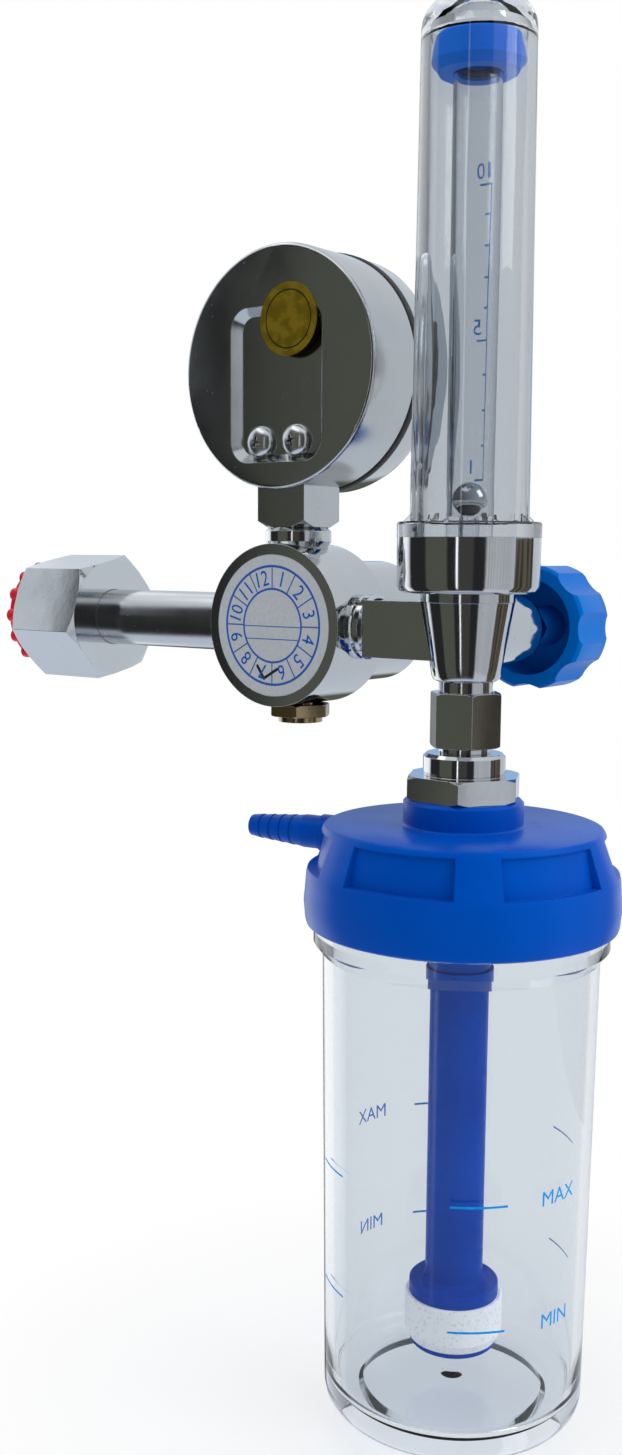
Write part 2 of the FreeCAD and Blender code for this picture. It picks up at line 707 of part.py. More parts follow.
def gauge_socket():
    """Square stem with a threaded foot, and the block inside the case that carries the works."""
    side = SOCKET_SIDE / 2
    at = block_places()
    foot = REG_RADIUS + LOCK_RING
    stem = box((REG_X - side, REG_X + side), (-side, side), (foot, CASE_BOTTOM + 4.5))
    corner = side * math.sqrt(2)
    barrel = turned("Z", ON_REG, [
        (foot, 0), (foot, side + 0.6), (foot + 1.6, corner), (GAUGE_HEIGHT, corner), (GAUGE_HEIGHT, 0)])
    half = SOCKET_BLOCK / 2
    block = box((REG_X - half, REG_X + half), (at["front"], at["back"]),
                (CASE_BOTTOM + 3.5, GAUGE_HEIGHT - SOCKET_BLOCK_TOP))
    thread = rod("Z", ON_REG, SOCKET_THREAD_RADIUS, REG_RADIUS - PORT_DEPTH, foot)
    neck = rod("Z", ON_REG, SOCKET_NECK_RADIUS, foot - 0.8, foot)
    bore = rod("Z", ON_REG, PASSAGE, REG_RADIUS - PORT_DEPTH - 1, GAUGE_HEIGHT - SCREW_DROP - 2)
    holes = [rod("Y", (x, GAUGE_HEIGHT - SCREW_DROP), SCREW_RADIUS, at["back"] - SCREW_LENGTH, at["back"] + 1)
             for x in screw_spots()]
    return joined([stem.common(barrel), block, thread, neck]).cut([bore, bourdon_tube()] + holes)


def gauge_lock_ring():
    """Round lock ring between the regulator and the gauge's stem."""
    hole = SOCKET_NECK_RADIUS + THREAD_GAP
    thread = SOCKET_THREAD_RADIUS + THREAD_GAP
    top = REG_RADIUS + LOCK_RING
    ring = turned("Z", ON_REG, [
        (REG_RADIUS - 1.6, thread), (REG_RADIUS - 1.6, LOCK_RING_RADIUS - 1.2),
        (REG_RADIUS + 0.6, LOCK_RING_RADIUS), (top - 1.0, LOCK_RING_RADIUS),
        (top, LOCK_RING_RADIUS - 1.0), (top, hole), (top - 0.8, hole), (top - 0.8, thread)])
    return ring.cut(rod("Y", ON_REG, REG_RADIUS, REG_FRONT, REG_REAR))


def gauge_screws():
    """Two pan-head screws through the pocket into the socket's block."""
    floor = GAUGE_BACK - POCKET_DEPTH
    screws = []
    for x in screw_spots():
        place = (x, GAUGE_HEIGHT - SCREW_DROP)
        shank = rod("Y", place, SCREW_RADIUS - THREAD_GAP, floor - CASE_WALL - SCREW_LENGTH + 0.5, floor)
        head = turned("Y", place, [
            (floor, 0), (floor, SCREW_HEAD_RADIUS), (floor + 0.9, SCREW_HEAD_RADIUS),
            (floor + 1.7, SCREW_HEAD_RADIUS - 0.8), (floor + SCREW_HEAD, SCREW_HEAD_RADIUS - 2.0),
            (floor + SCREW_HEAD, 0)])
        screws.append(joined([shank, head]))
    return Part.makeCompound(screws)


def warning_label():
    """Round film label stuck over the upper edge of the pocket."""
    place = (REG_X + WARNING_LABEL_X, GAUGE_HEIGHT + WARNING_LABEL_RISE)
    return rod("Y", place, WARNING_LABEL_RADIUS, GAUGE_BACK, GAUGE_BACK + LABEL_FILM)


def gauge_gasket():
    """Black ring that shows in the joint between case and bezel."""
    return turned("Y", ON_GAUGE, [
        (CASE_FRONT, GAUGE_RADIUS - GASKET_SINK), (CASE_FRONT, GASKET_BORE),
        (BEZEL_REAR, GASKET_BORE), (BEZEL_REAR, GAUGE_RADIUS - GASKET_SINK)])


def gauge_bezel():
    """Rolled ring with a front lip that holds the glass."""
    inner = GAUGE_RADIUS - BEZEL_WALL
    lip = inner - BEZEL_LIP
    return turned("Y", ON_GAUGE, [
        (BEZEL_REAR, inner), (BEZEL_REAR, GAUGE_RADIUS), (BEZEL_FRONT + 3.0, GAUGE_RADIUS),
        (BEZEL_FRONT + 0.9, GAUGE_RADIUS - 0.7), (BEZEL_FRONT, GAUGE_RADIUS - 2.4),
        (BEZEL_FRONT, lip), (BEZEL_FRONT + BEZEL_FOLD, lip), (BEZEL_FRONT + BEZEL_FOLD, inner)])


def gauge_glass():
    """Clear front disc under the bezel's lip."""
    rear = BEZEL_FRONT + BEZEL_FOLD
    return rod("Y", ON_GAUGE, GAUGE_RADIUS - BEZEL_WALL - THREAD_GAP, rear, rear + GLASS)


def dial_rear():
    """Y of the dial's rear face, which lies on the movement's posts."""
    return CASE_FRONT + 1.0


def gauge_dial():
    """Printed dial with a centre hole for the pointer's arbor."""
    rear = dial_rear()
    disc = rod("Y", ON_GAUGE, DIAL_RADIUS, rear - DIAL, rear)
    return disc.cut(rod("Y", ON_GAUGE, ARBOR_RADIUS + 0.4, rear - 2, rear + 2))


def dial_ring():
    """Spacer ring between the dial's face and the glass."""
    glass = BEZEL_FRONT + BEZEL_FOLD + GLASS
    outer = GASKET_BORE - THREAD_GAP
    return tube("Y", ON_GAUGE, outer, outer - DIAL_RING, glass, dial_rear() - DIAL)


def movement_places():
    """Y places of the movement behind the dial: front plate, gears, rear plate on the block."""
    rear = block_places()["front"]
    outer = rear - MOVEMENT_PLATE
    inner = outer - MOVEMENT_SPACE
    return {"front": inner - MOVEMENT_PLATE, "inner": inner, "outer": outer, "rear": rear}


def sector_pivot():
    """X and Z of the sector's pivot, below the arbor."""
    return (REG_X, GAUGE_HEIGHT - SECTOR_RADIUS - PINION_RADIUS - FLAT_GAP)


def movement_frame():
    """Two plates on the socket's block, with posts, that carry the arbor and the sector."""
    at = movement_places()
    low = sector_pivot()[1] - 6.0
    top = GAUGE_HEIGHT + 6.0
    wide = (REG_X - MOVEMENT_RADIUS, REG_X + MOVEMENT_RADIUS)
    rear_plate = box(wide, (at["outer"], at["rear"]), (low, top))
    front_plate = box((REG_X - 3.0, REG_X + 3.0), (at["front"], at["inner"]), (low, top))
    posts = [rod("Y", (REG_X, z), 1.0, dial_rear(), at["outer"]) for z in (low + 1.2, top - 1.2)]
    holes = [rod("Y", ON_GAUGE, ARBOR_RADIUS + RUN_GAP, at["front"] - 1, at["rear"] + 1),
             rod("Y", sector_pivot(), ARBOR_RADIUS + RUN_GAP, at["front"] - 1, at["rear"] + 1)]
    return joined([rear_plate, front_plate] + posts).cut(holes)


def pinion_arbor():
    """Pointer arbor with its small pinion between the plates."""
    at = movement_places()
    shaft = rod("Y", ON_GAUGE, ARBOR_RADIUS, dial_rear() - DIAL - 1.6, at["rear"])
    pinion = rod("Y", ON_GAUGE, PINION_RADIUS, at["inner"] + 0.4, at["outer"] - 0.4)
    return joined([shaft, pinion])


def pointer_angle():
    """Angle of the pointer at zero, at the lower left as seen on the dial."""
    return 225.0


def gauge_pointer():
    """Thin pointer with a round hub and a short tail, pushed on the arbor."""
    rear = dial_rear() - DIAL - 0.6
    front = rear - 0.8
    half = POINTER_WIDTH / 2
    outline = [(-POINTER_TAIL, -half), (POINTER_LENGTH, -0.25), (POINTER_LENGTH, 0.25), (-POINTER_TAIL, half)]
    needle = placed(prism(outline, front, rear), "Z", (0, 0))
    needle.rotate(V(0, 0, 0), AXES["X"], 90)
    needle.translate(V(0, front + rear, 0))
    hub = rod("Y", (0, 0), 2.6, front, rear)
    shape = joined([needle, hub]).cut(rod("Y", (0, 0), ARBOR_RADIUS, front - 1, rear + 1))
    shape.rotate(V(0, 0, 0), AXES["Y"], -pointer_angle())
    shape.translate(V(REG_X, 0, GAUGE_HEIGHT))
    return shape


def sector_gear():
    """Sector on its own pivot, with a tail that the link pulls."""
    at = movement_places()
    front = at["inner"] + 0.5
    rear = front + SECTOR_THICKNESS
    centre = sector_pivot()
    disc = rod("Y", centre, SECTOR_RADIUS, front, rear)
    reach = SECTOR_RADIUS * 1.6
    rays = [math.radians(a) for a in (-SECTOR_SPARE, SECTOR_SWEEP / 2, SECTOR_SWEEP + SECTOR_SPARE)]
    keep = prism([(0, 0)] + [(reach * math.sin(a), reach * math.cos(a)) for a in rays], front, rear)
    keep.rotate(V(0, 0, 0), AXES["X"], 90)
    keep.translate(V(centre[0], front + rear, centre[1]))
    tail = box((centre[0] - SECTOR_TAIL - 1.2, centre[0]), (front, rear), (centre[1] - 1.2, centre[1] + 1.2))
    hub = rod("Y", centre, 2.2, at["inner"] + FLAT_GAP, at["outer"] - FLAT_GAP)
    pivot = rod("Y", centre, ARBOR_RADIUS, at["front"], at["rear"])
    stud = rod("Y", (centre[0] - SECTOR_TAIL, centre[1]), 0.5, rear, rear + 1.4)
    return joined([disc.common(keep), tail, hub, pivot, stud])


def link_y():
    """Y of the link's front and rear faces."""
    front = movement_places()["inner"] + 0.5 + SECTOR_THICKNESS + FLAT_GAP
    return (front, front + LINK_THICKNESS)


def tip_link():
    """Small link from the stud on the sector's tail to the tube's tip."""
    front, rear = link_y()
    start = V(sector_pivot()[0] - SECTOR_TAIL, 0, sector_pivot()[1])
    bar = box((0, LINK_LENGTH), (front, rear), (-1.1, 1.1))
    bar = joined([bar, rod("Y", (0, 0), 1.1, front, rear), rod("Y", (LINK_LENGTH, 0), 1.1, front, rear)])
    bar = bar.cut(rod("Y", (0, 0), 0.5 + RUN_GAP, front - 1, rear + 1))
    bar.rotate(V(0, 0, 0), AXES["Y"], -LINK_ANGLE)
    bar.translate(start)
    return bar


def bourdon_tube():
    """Flattened tube bent round the case from the block to a closed free tip."""
    front = block_places()["front"] + 0.6
    low = TUBE_ARC_RADIUS - TUBE_THICKNESS / 2
    high = TUBE_ARC_RADIUS + TUBE_THICKNESS / 2
    tip_front = link_y()[1] + SOFT_GAP

    def swept(y_front, y_rear, start, angle):
        corners = [V(low, y_front, 0), V(high, y_front, 0), V(high, y_rear, 0), V(low, y_rear, 0)]
        part = Part.Face(Part.makePolygon(corners + corners[:1])).revolve(V(0, 0, 0), AXES["Y"], angle)
        part.rotate(V(0, 0, 0), AXES["Y"], start)
        return part
    arc = swept(front, front + TUBE_WIDTH, TUBE_FOOT - TUBE_WRAP, TUBE_WRAP)
    tip = swept(tip_front, front + TUBE_WIDTH, TUBE_FOOT - TUBE_WRAP - 8.0, 8.0)
    shape = joined([arc, tip])
    shape.translate(V(REG_X, 0, GAUGE_HEIGHT))
    return shape


# Arm and flowmeter body

def arm_lock_ring():
    """Round lock ring between the regulator and the arm."""
    end = REG_X - ARM_FROM_REG
    ring = turned("X", ON_INLET, [
        (end, PORT_RADIUS + THREAD_GAP), (end, ARM_RING_RADIUS - 0.8), (end + 0.8, ARM_RING_RADIUS),
        (end + 2.2, ARM_RING_RADIUS), (end + 2.8, ARM_RING_RADIUS - 0.7), (end + 3.4, ARM_RING_RADIUS),
        (REG_X - REG_RADIUS + 4.0, ARM_RING_RADIUS), (REG_X - REG_RADIUS + 4.0, PORT_RADIUS + THREAD_GAP)])
    return ring.cut(rod("Y", ON_REG, REG_RADIUS, REG_FRONT, REG_REAR))


def body_outline():
    """Outside of the turned part of the flowmeter body, from the cup's rim down to the cone's end."""
    return [(FLANGE_BOTTOM, 0), (FLANGE_BOTTOM, CUP_RADIUS), (CUP_BOTTOM + CUP_ROUND, CUP_RADIUS),
            (CUP_BOTTOM + 0.5, CUP_RADIUS - 0.5), (CUP_BOTTOM, CUP_RADIUS - CUP_ROUND),
            (CUP_BOTTOM, GROOVE_RADIUS), (CONE_TOP, GROOVE_RADIUS), (CONE_TOP, CONE_TOP_RADIUS),
            (CONE_BOTTOM + CONE_ROUND, CONE_BOTTOM_RADIUS), (CONE_BOTTOM + 0.4, CONE_BOTTOM_RADIUS - 0.4),
            (CONE_BOTTOM, CONE_BOTTOM_RADIUS - CONE_ROUND), (CONE_BOTTOM, 0)]


def flowmeter_body():
    """Chromed body: cup for the float tube, cone, square arm and the round valve boss."""
    turned_part = turned("Z", ON_FLOW, body_outline())
    side = ARM_SIDE / 2
    arm_end = REG_X - ARM_FROM_REG
    arm = box((FLOW_X, arm_end), (-side, side), (-side, side))
    stub = rod("X", ON_INLET, PORT_RADIUS, arm_end, REG_X - REG_RADIUS + PORT_DEPTH)
    boss = turned("Y", ON_FLOW, [
        (0, 0), (0, BOSS_RADIUS), (-BOSS_FRONT + 0.8, BOSS_RADIUS), (-BOSS_FRONT, BOSS_RADIUS - 0.8),
        (-BOSS_FRONT, 0)])
    cup_floor = FLANGE_BOTTOM - CUP_BORE_DEPTH
    cup = rod("Z", ON_FLOW, CUP_BORE_RADIUS, cup_floor, FLANGE_BOTTOM + 1)
    seat = rod("Z", ON_FLOW, METER_RADIUS + THREAD_GAP, cup_floor - METER_SINK, cup_floor + 1)
    gas_up = rod("Z", ON_FLOW, 1.2, 0, cup_floor)
    at = valve_places()
    valve = turned("Y", ON_FLOW, [
        (-BOSS_FRONT - 1, 0), (-BOSS_FRONT - 1, GLAND_SHANK_RADIUS + THREAD_GAP),
        (at["shoulder"], GLAND_SHANK_RADIUS + THREAD_GAP), (at["shoulder"], NEEDLE_RADIUS + RUN_GAP),
        (at["seat"], NEEDLE_RADIUS + RUN_GAP), (at["seat"], 1.0), (2.0, 1.0), (2.0, 0)])
    gas_in = rod("X", ON_INLET, ARM_BORE, FLOW_X + 7.0, REG_X)
    gas_feed = passage(V(FLOW_X + 8.0, 0, 0), V(FLOW_X + 1.5, -6.0, 0))
    nipple = NIPPLE_NECK_RADIUS - 1.0 + THREAD_GAP
    outlet = rod("Z", ON_FLOW, nipple, CONE_BOTTOM - 1, CONE_BOTTOM + NIPPLE_THREAD)
    gas_out = passage(V(FLOW_X - METER_RADIUS - 2.0, 0, cup_floor + 1), V(FLOW_X - 3.0, 0, CONE_BOTTOM + 3.0))
    groove = tube("Z", ON_FLOW, SEAL_OUTER + THREAD_GAP, SEAL_INNER - THREAD_GAP, FLANGE_BOTTOM - SEAL_HEIGHT,
                  FLANGE_BOTTOM + 1)
    cuts = [cup, seat, gas_up, valve, gas_in, gas_feed, outlet, gas_out, groove]
    return joined([turned_part, arm, stub, boss]).cut(cuts)


def passage(start, end):
    """A slanted drilled passage between two points."""
    way = end - start
    return Part.makeCylinder(PASSAGE, way.Length, start, way)


# Needle valve

def valve_places():
    """Places along the valve's Y axis; forward is negative."""
    front = -BOSS_FRONT
    shoulder = front + GLAND_SHANK + PACKING
    return {"front": front, "shoulder": shoulder, "seat": -3.0,
            "gland": front - GLAND_HEX}


def gland_nut():
    """Hexagon gland that holds the spindle and presses on the packing."""
    at = valve_places()
    hexa = hexagon("Y", ON_FLOW, GLAND_ACROSS, at["gland"], at["front"], turn=0, bevel=0.5)
    shank = rod("Y", ON_FLOW, GLAND_SHANK_RADIUS, at["front"], at["front"] + GLAND_SHANK)
    hole = rod("Y", ON_FLOW, SPINDLE_RADIUS + RUN_GAP, at["gland"] - 1, at["shoulder"])
    return joined([hexa, shank]).cut(hole)


def packing_ring():
    """Soft packing between the gland and the shoulder."""
    at = valve_places()
    start = at["front"] + GLAND_SHANK
    return tube("Y", ON_FLOW, GLAND_SHANK_RADIUS, SPINDLE_RADIUS + RUN_GAP, start, at["shoulder"])


def spindle_places():
    """Spindle ends: hub end inside the knob, and head behind the packing."""
    at = valve_places()
    return {"front": -(KNOB_BACK + KNOB_LENGTH - KNOB_WEB), "head": at["shoulder"] + FLAT_GAP}


def valve_spindle():
    """Spindle with a head behind the packing and a tongue that turns the needle."""
    at = spindle_places()
    shaft = rod("Y", ON_FLOW, SPINDLE_RADIUS, at["front"], at["head"])
    head = rod("Y", ON_FLOW, SPINDLE_HEAD_RADIUS, at["head"], at["head"] + SPINDLE_HEAD)
    hole = rod("Y", ON_FLOW, KNOB_SCREW_RADIUS, at["front"] - 1, at["front"] + KNOB_SCREW_REACH + 0.5)
    tongue = box((FLOW_X - TONGUE_WIDTH / 2, FLOW_X + TONGUE_WIDTH / 2),
                 (at["head"] + SPINDLE_HEAD, at["head"] + SPINDLE_HEAD + TONGUE),
                 (-TONGUE_THICKNESS / 2, TONGUE_THICKNESS / 2))
    return joined([shaft, head, tongue]).cut(hole)


def needle():
    """Threaded needle with a slot that slides on the spindle's tongue."""
    cone = valve_places()["seat"] - 0.4 - NEEDLE_CONE
    back = cone - NEEDLE_BODY
    tip = cone + NEEDLE_CONE
    shape = turned("Y", ON_FLOW, [
        (tip, 0), (tip, 0.6), (cone, NEEDLE_RADIUS), (back, NEEDLE_RADIUS), (back, 0)])
    half_width = TONGUE_WIDTH / 2 + RUN_GAP
    half_height = TONGUE_THICKNESS / 2 + RUN_GAP
    width = (FLOW_X - half_width, FLOW_X + half_width)
    slot = box(width, (back - 1, cone + 0.6), (-half_height, half_height))
    return shape.cut(slot)


def flow_knob():
    """Moulded knob: scalloped rim, deep hollow towards the body and a hub on the spindle."""
    rear = -KNOB_BACK
    front = rear - KNOB_LENGTH
    outer = turned("Y", ON_FLOW, [
        (rear, 0), (rear, KNOB_RADIUS - 0.8), (rear - 0.8, KNOB_RADIUS), (front + 1.8, KNOB_RADIUS),
        (front + 0.5, KNOB_RADIUS - 0.6), (front, KNOB_RADIUS - 2.2), (front, 0)])
    reach = KNOB_RADIUS + KNOB_SCALLOP - KNOB_SCALLOP_DEPTH
    scallop = rod("Y", (FLOW_X + reach, 0), KNOB_SCALLOP, front - 1, rear + 1)
    outer = outer.cut(spun(scallop, V(FLOW_X, 0, 0), AXES["Y"], KNOB_LOBES))
    hollow = tube("Y", ON_FLOW, KNOB_HOLLOW_RADIUS, KNOB_HUB_RADIUS, front + KNOB_WEB, rear + 1)
    trim = rod("Y", ON_FLOW, KNOB_HUB_RADIUS + 1, -(BOSS_FRONT + GLAND_HEX + 1.0), rear + 2)
    bore = rod("Y", ON_FLOW, SPINDLE_RADIUS + THREAD_GAP, front + KNOB_WEB, rear + 1)
    screw_hole = rod("Y", ON_FLOW, KNOB_SCREW_RADIUS + THREAD_GAP, front - 1, rear)
    well = rod("Y", ON_FLOW, KNOB_SCREW_HEAD + THREAD_GAP, front - 1, front + KNOB_WELL)
    cap_seat = rod("Y", ON_FLOW, KNOB_CAP_RADIUS + THREAD_GAP, front - 1, front + KNOB_CAP)
    return outer.cut([hollow, trim, bore, screw_hole, well, cap_seat])


def knob_screw():
    """Screw that holds the knob on its spindle."""
    front = -(KNOB_BACK + KNOB_LENGTH)
    well = front + KNOB_WELL
    end = front + KNOB_WEB + KNOB_SCREW_REACH
    head = rod("Y", ON_FLOW, KNOB_SCREW_HEAD, front + KNOB_CAP, well)
    shank = rod("Y", ON_FLOW, KNOB_SCREW_RADIUS - THREAD_GAP, well, end)
    return joined([head, shank])


def knob_cap():
    """Flat cap that covers the knob's screw."""
    front = -(KNOB_BACK + KNOB_LENGTH)
    return rod("Y", ON_FLOW, KNOB_CAP_RADIUS, front, front + KNOB_CAP)


# Float tube

def tube_cover():
    """Clear cover: domed top, slightly tapered bore, flange on the cup and small gussets."""
    arc = []
    for k in range(1, 6):
        angle = math.radians(90 * k / 6)
        arc.append((COVER_TOP - COVER_ROUND + COVER_ROUND * math.sin(angle),
                    COVER_TOP_RADIUS - COVER_ROUND + COVER_ROUND * math.cos(angle)))
    outer = turned("Z", ON_FLOW, [
        (FLANGE_BOTTOM, 0), (FLANGE_BOTTOM, FLANGE_RADIUS), (FLANGE_TOP - 0.4, FLANGE_RADIUS),
        (FLANGE_TOP, FLANGE_RADIUS - 0.4), (FLANGE_TOP, COVER_FOOT_RADIUS),
        (COVER_TOP - COVER_ROUND, COVER_TOP_RADIUS)] + arc + [
        (COVER_TOP, COVER_TOP_RADIUS - COVER_ROUND), (COVER_TOP, 0)])
    foot = COVER_FOOT_RADIUS - 0.4
    gusset = box((FLOW_X + foot - 1, FLOW_X + foot + GUSSET_SIZE), (-GUSSET_WIDTH / 2, GUSSET_WIDTH / 2),
                 (FLANGE_TOP - 0.2, FLANGE_TOP + GUSSET_SIZE))
    slope = Part.makeBox(10, 10, 10, V(0, -5, 0))
    slope.rotate(V(0, 0, 0), AXES["Y"], 45)
    slope.translate(V(FLOW_X + foot, 0, FLANGE_TOP + GUSSET_SIZE))
    gussets = spun(gusset.cut(slope), V(FLOW_X, 0, 0), UP, GUSSETS)
    spigot = rod("Z", ON_FLOW, CUP_BORE_RADIUS - THREAD_GAP, FLANGE_BOTTOM - COVER_SPIGOT, FLANGE_BOTTOM)
    roof = STOPPER_TOP + SOFT_GAP
    crown = COVER_TOP - COVER_ROOF
    shoulder = STOPPER_TOP_RADIUS - 1.6
    bore = turned("Z", ON_FLOW, [
        (FLANGE_BOTTOM - COVER_SPIGOT - 1, 0), (FLANGE_BOTTOM - COVER_SPIGOT - 1, COVER_BORE_FOOT),
        (FLANGE_TOP, COVER_BORE_FOOT), (roof - 1.2, COVER_BORE_TOP), (roof, COVER_BORE_TOP - 0.8),
        (roof, shoulder), ((roof + crown) / 2, shoulder - 0.8), (crown - 0.8, shoulder * 0.7),
        (crown, shoulder * 0.4), (crown, 0)])
    return joined([outer, spigot] + gussets).cut(bore)


def metering_tube():
    """Clear tapered-bore tube that the ball rises in."""
    floor = FLANGE_BOTTOM - CUP_BORE_DEPTH - METER_SINK
    outer = rod("Z", ON_FLOW, METER_RADIUS, floor, METER_TOP)
    step = BALL_REST - BALL_RADIUS - FLAT_GAP
    bore = turned("Z", ON_FLOW, [
        (floor - 1, 0), (floor - 1, METER_PORT), (step, METER_PORT), (step, METER_BORE_FOOT),
        (METER_TOP + 1, METER_BORE_TOP), (METER_TOP + 1, 0)])
    return outer.cut(bore)


def float_ball():
    """Solid float ball."""
    return Part.makeSphere(BALL_RADIUS, V(FLOW_X, 0, BALL_REST))


def tube_stopper():
    """Blue stopper: tapered plug that holds the top of the metering tube under the dome."""
    foot = STOPPER_TOP - STOPPER_HEIGHT
    on_tube = METER_RADIUS + THREAD_GAP
    shape = turned("Z", ON_FLOW, [
        (foot, on_tube), (foot, STOPPER_FOOT_RADIUS), (foot + STOPPER_RIM, STOPPER_RIM_RADIUS),
        (STOPPER_TOP - 0.8, STOPPER_TOP_RADIUS), (STOPPER_TOP, STOPPER_TOP_RADIUS - 0.8),
        (STOPPER_TOP, STOPPER_PORT), (METER_TOP, STOPPER_PORT), (METER_TOP, on_tube)])
    middle = METER_TOP - O_RING_DROP
    half = O_RING_WIRE + FLAT_GAP
    floor = METER_RADIUS + THREAD_GAP + 2 * O_RING_WIRE + FLAT_GAP
    return shape.cut(tube("Z", ON_FLOW, floor, METER_RADIUS, middle - half, middle + half))


def stopper_o_ring():
    """Ring seal between the metering tube and the stopper."""
    middle = V(0, 0, METER_TOP - O_RING_DROP)
    ring = Part.makeTorus(METER_RADIUS + THREAD_GAP + O_RING_WIRE, O_RING_WIRE, middle)
    return placed(ring, "Z", ON_FLOW)


def flange_seal():
    """Flat ring seal in the groove of the cup's rim."""
    return tube("Z", ON_FLOW, SEAL_OUTER, SEAL_INNER, FLANGE_BOTTOM - SEAL_HEIGHT, FLANGE_BOTTOM)


# Outlet

def outlet_nipple():
    """Turned and hexed nipple under the body, with the flange that the union nut holds."""
    flange_top = UNION_TOP - UNION_ROOF
    flange_bottom = flange_top - NIPPLE_FLANGE
    neck_in = CONE_BOTTOM + NIPPLE_THREAD - PORT_SPACE
    spine = turned("Z", ON_FLOW, [
        (neck_in, 0), (neck_in, NIPPLE_NECK_RADIUS - 1.0), (CONE_BOTTOM, NIPPLE_NECK_RADIUS - 1.0),
        (CONE_BOTTOM, NIPPLE_NECK_RADIUS), (NIPPLE_HEX_TOP, NIPPLE_NECK_RADIUS),
        (NIPPLE_HEX_BOTTOM, NIPPLE_NECK_RADIUS - 0.1), (UNION_TOP, NIPPLE_NECK_RADIUS - 0.1),
        (UNION_TOP, NIPPLE_SHANK_RADIUS), (flange_top, NIPPLE_SHANK_RADIUS),
        (flange_top, UNION_BORE - 0.4), (flange_bottom, UNION_BORE - 0.4),
        (flange_bottom, NIPPLE_NOSE_RADIUS), (flange_bottom - NIPPLE_NOSE, NIPPLE_NOSE_RADIUS - 0.6),
        (flange_bottom - NIPPLE_NOSE, 0)])
    hexa = hexagon("Z", ON_FLOW, NIPPLE_ACROSS, NIPPLE_HEX_BOTTOM, NIPPLE_HEX_TOP, NIPPLE_TURN, bevel=0.7)
    bore = rod("Z", ON_FLOW, NIPPLE_BORE, flange_bottom - NIPPLE_NOSE - 1, neck_in + 1)
    return joined([spine, hexa]).cut(bore)


def union_nut():
    """Union nut: round collar over a hexagon, pulling the lid's spigot up to the nipple."""
    collar = turned("Z", ON_FLOW, [
        (UNION_TOP, 0), (UNION_TOP, UNION_COLLAR_RADIUS - 0.8), (UNION_TOP - 0.8, UNION_COLLAR_RADIUS),
        (UNION_HEX_TOP, UNION_COLLAR_RADIUS), (UNION_HEX_TOP, 0)])
    hexa = hexagon("Z", ON_FLOW, UNION_ACROSS, UNION_HEX_BOTTOM, UNION_HEX_TOP, UNION_TURN, bevel=1.2)
    bore = turned("Z", ON_FLOW, [
        (UNION_TOP + 1, 0), (UNION_TOP + 1, NIPPLE_SHANK_RADIUS + THREAD_GAP),
        (UNION_TOP - UNION_ROOF, NIPPLE_SHANK_RADIUS + THREAD_GAP), (UNION_TOP - UNION_ROOF, UNION_BORE),
        (UNION_HEX_BOTTOM - 1, UNION_BORE), (UNION_HEX_BOTTOM - 1, 0)])
    return joined([collar, hexa]).cut(bore)


# Humidifier lid

def lid_ring(points, start, sweep):
    """A part turn of a lid outline, starting at an angle."""
    corners = [V(radius, 0, z) for z, radius in points]
    solid = Part.Face(Part.makePolygon(corners + corners[:1])).revolve(V(0, 0, 0), UP, sweep)
    if solid.Volume < 0:
        solid.reverse()
    solid.rotate(V(0, 0, 0), UP, start)
    solid.translate(V(FLOW_X, 0, 0))
    return solid


def lid_roof():
    """Z of the lid's inner roof."""
    return LID_TOP - LID_WALL


def barb():
    """Hose barb with sawtooth rings that fall towards its tip, along +X from the lid's axis."""
    tip = BARB_ROOT + BARB_LENGTH
    first = BARB_ROOT + BARB_LAND
    pitch = (tip - first) / BARB_RINGS
    inside = LID_PANEL_RADIUS - 4.0
    stop = BARB_ROOT + BARB_COLLAR
    points = [(inside, 0), (inside, BARB_COLLAR_RADIUS), (stop, BARB_COLLAR_RADIUS),
              (stop, BARB_ROOT_RADIUS), (first, BARB_ROOT_RADIUS)]
    for k in range(BARB_RINGS):
        share = (k + 1.0) / BARB_RINGS
        crest = BARB_ROOT_RADIUS + (BARB_TIP_RADIUS - BARB_ROOT_RADIUS) * share
        start = first + pitch * k
        points.append((start, crest + BARB_STEP * 0.5))
        points.append((start + pitch, crest - BARB_STEP * 0.5))
    points.append((tip, 0))
    shape = turned("X", (0, 0), points)
    web = box((LID_PANEL_RADIUS - 3.0, BARB_ROOT + WEB_REACH), (-WEB_WIDTH / 2, WEB_WIDTH / 2),
              (LID_LEDGE - 2.0 - BARB_AXIS, 0))
    slope = Part.makeBox(20, 10, 20, V(0, -5, -20))
    slope.rotate(V(0, 0, 0), AXES["Y"], -35)
    slope.translate(V(LID_SKIRT_RADIUS - 0.4, 0, LID_LEDGE - BARB_AXIS))
    return joined([shape, web.cut(slope)])


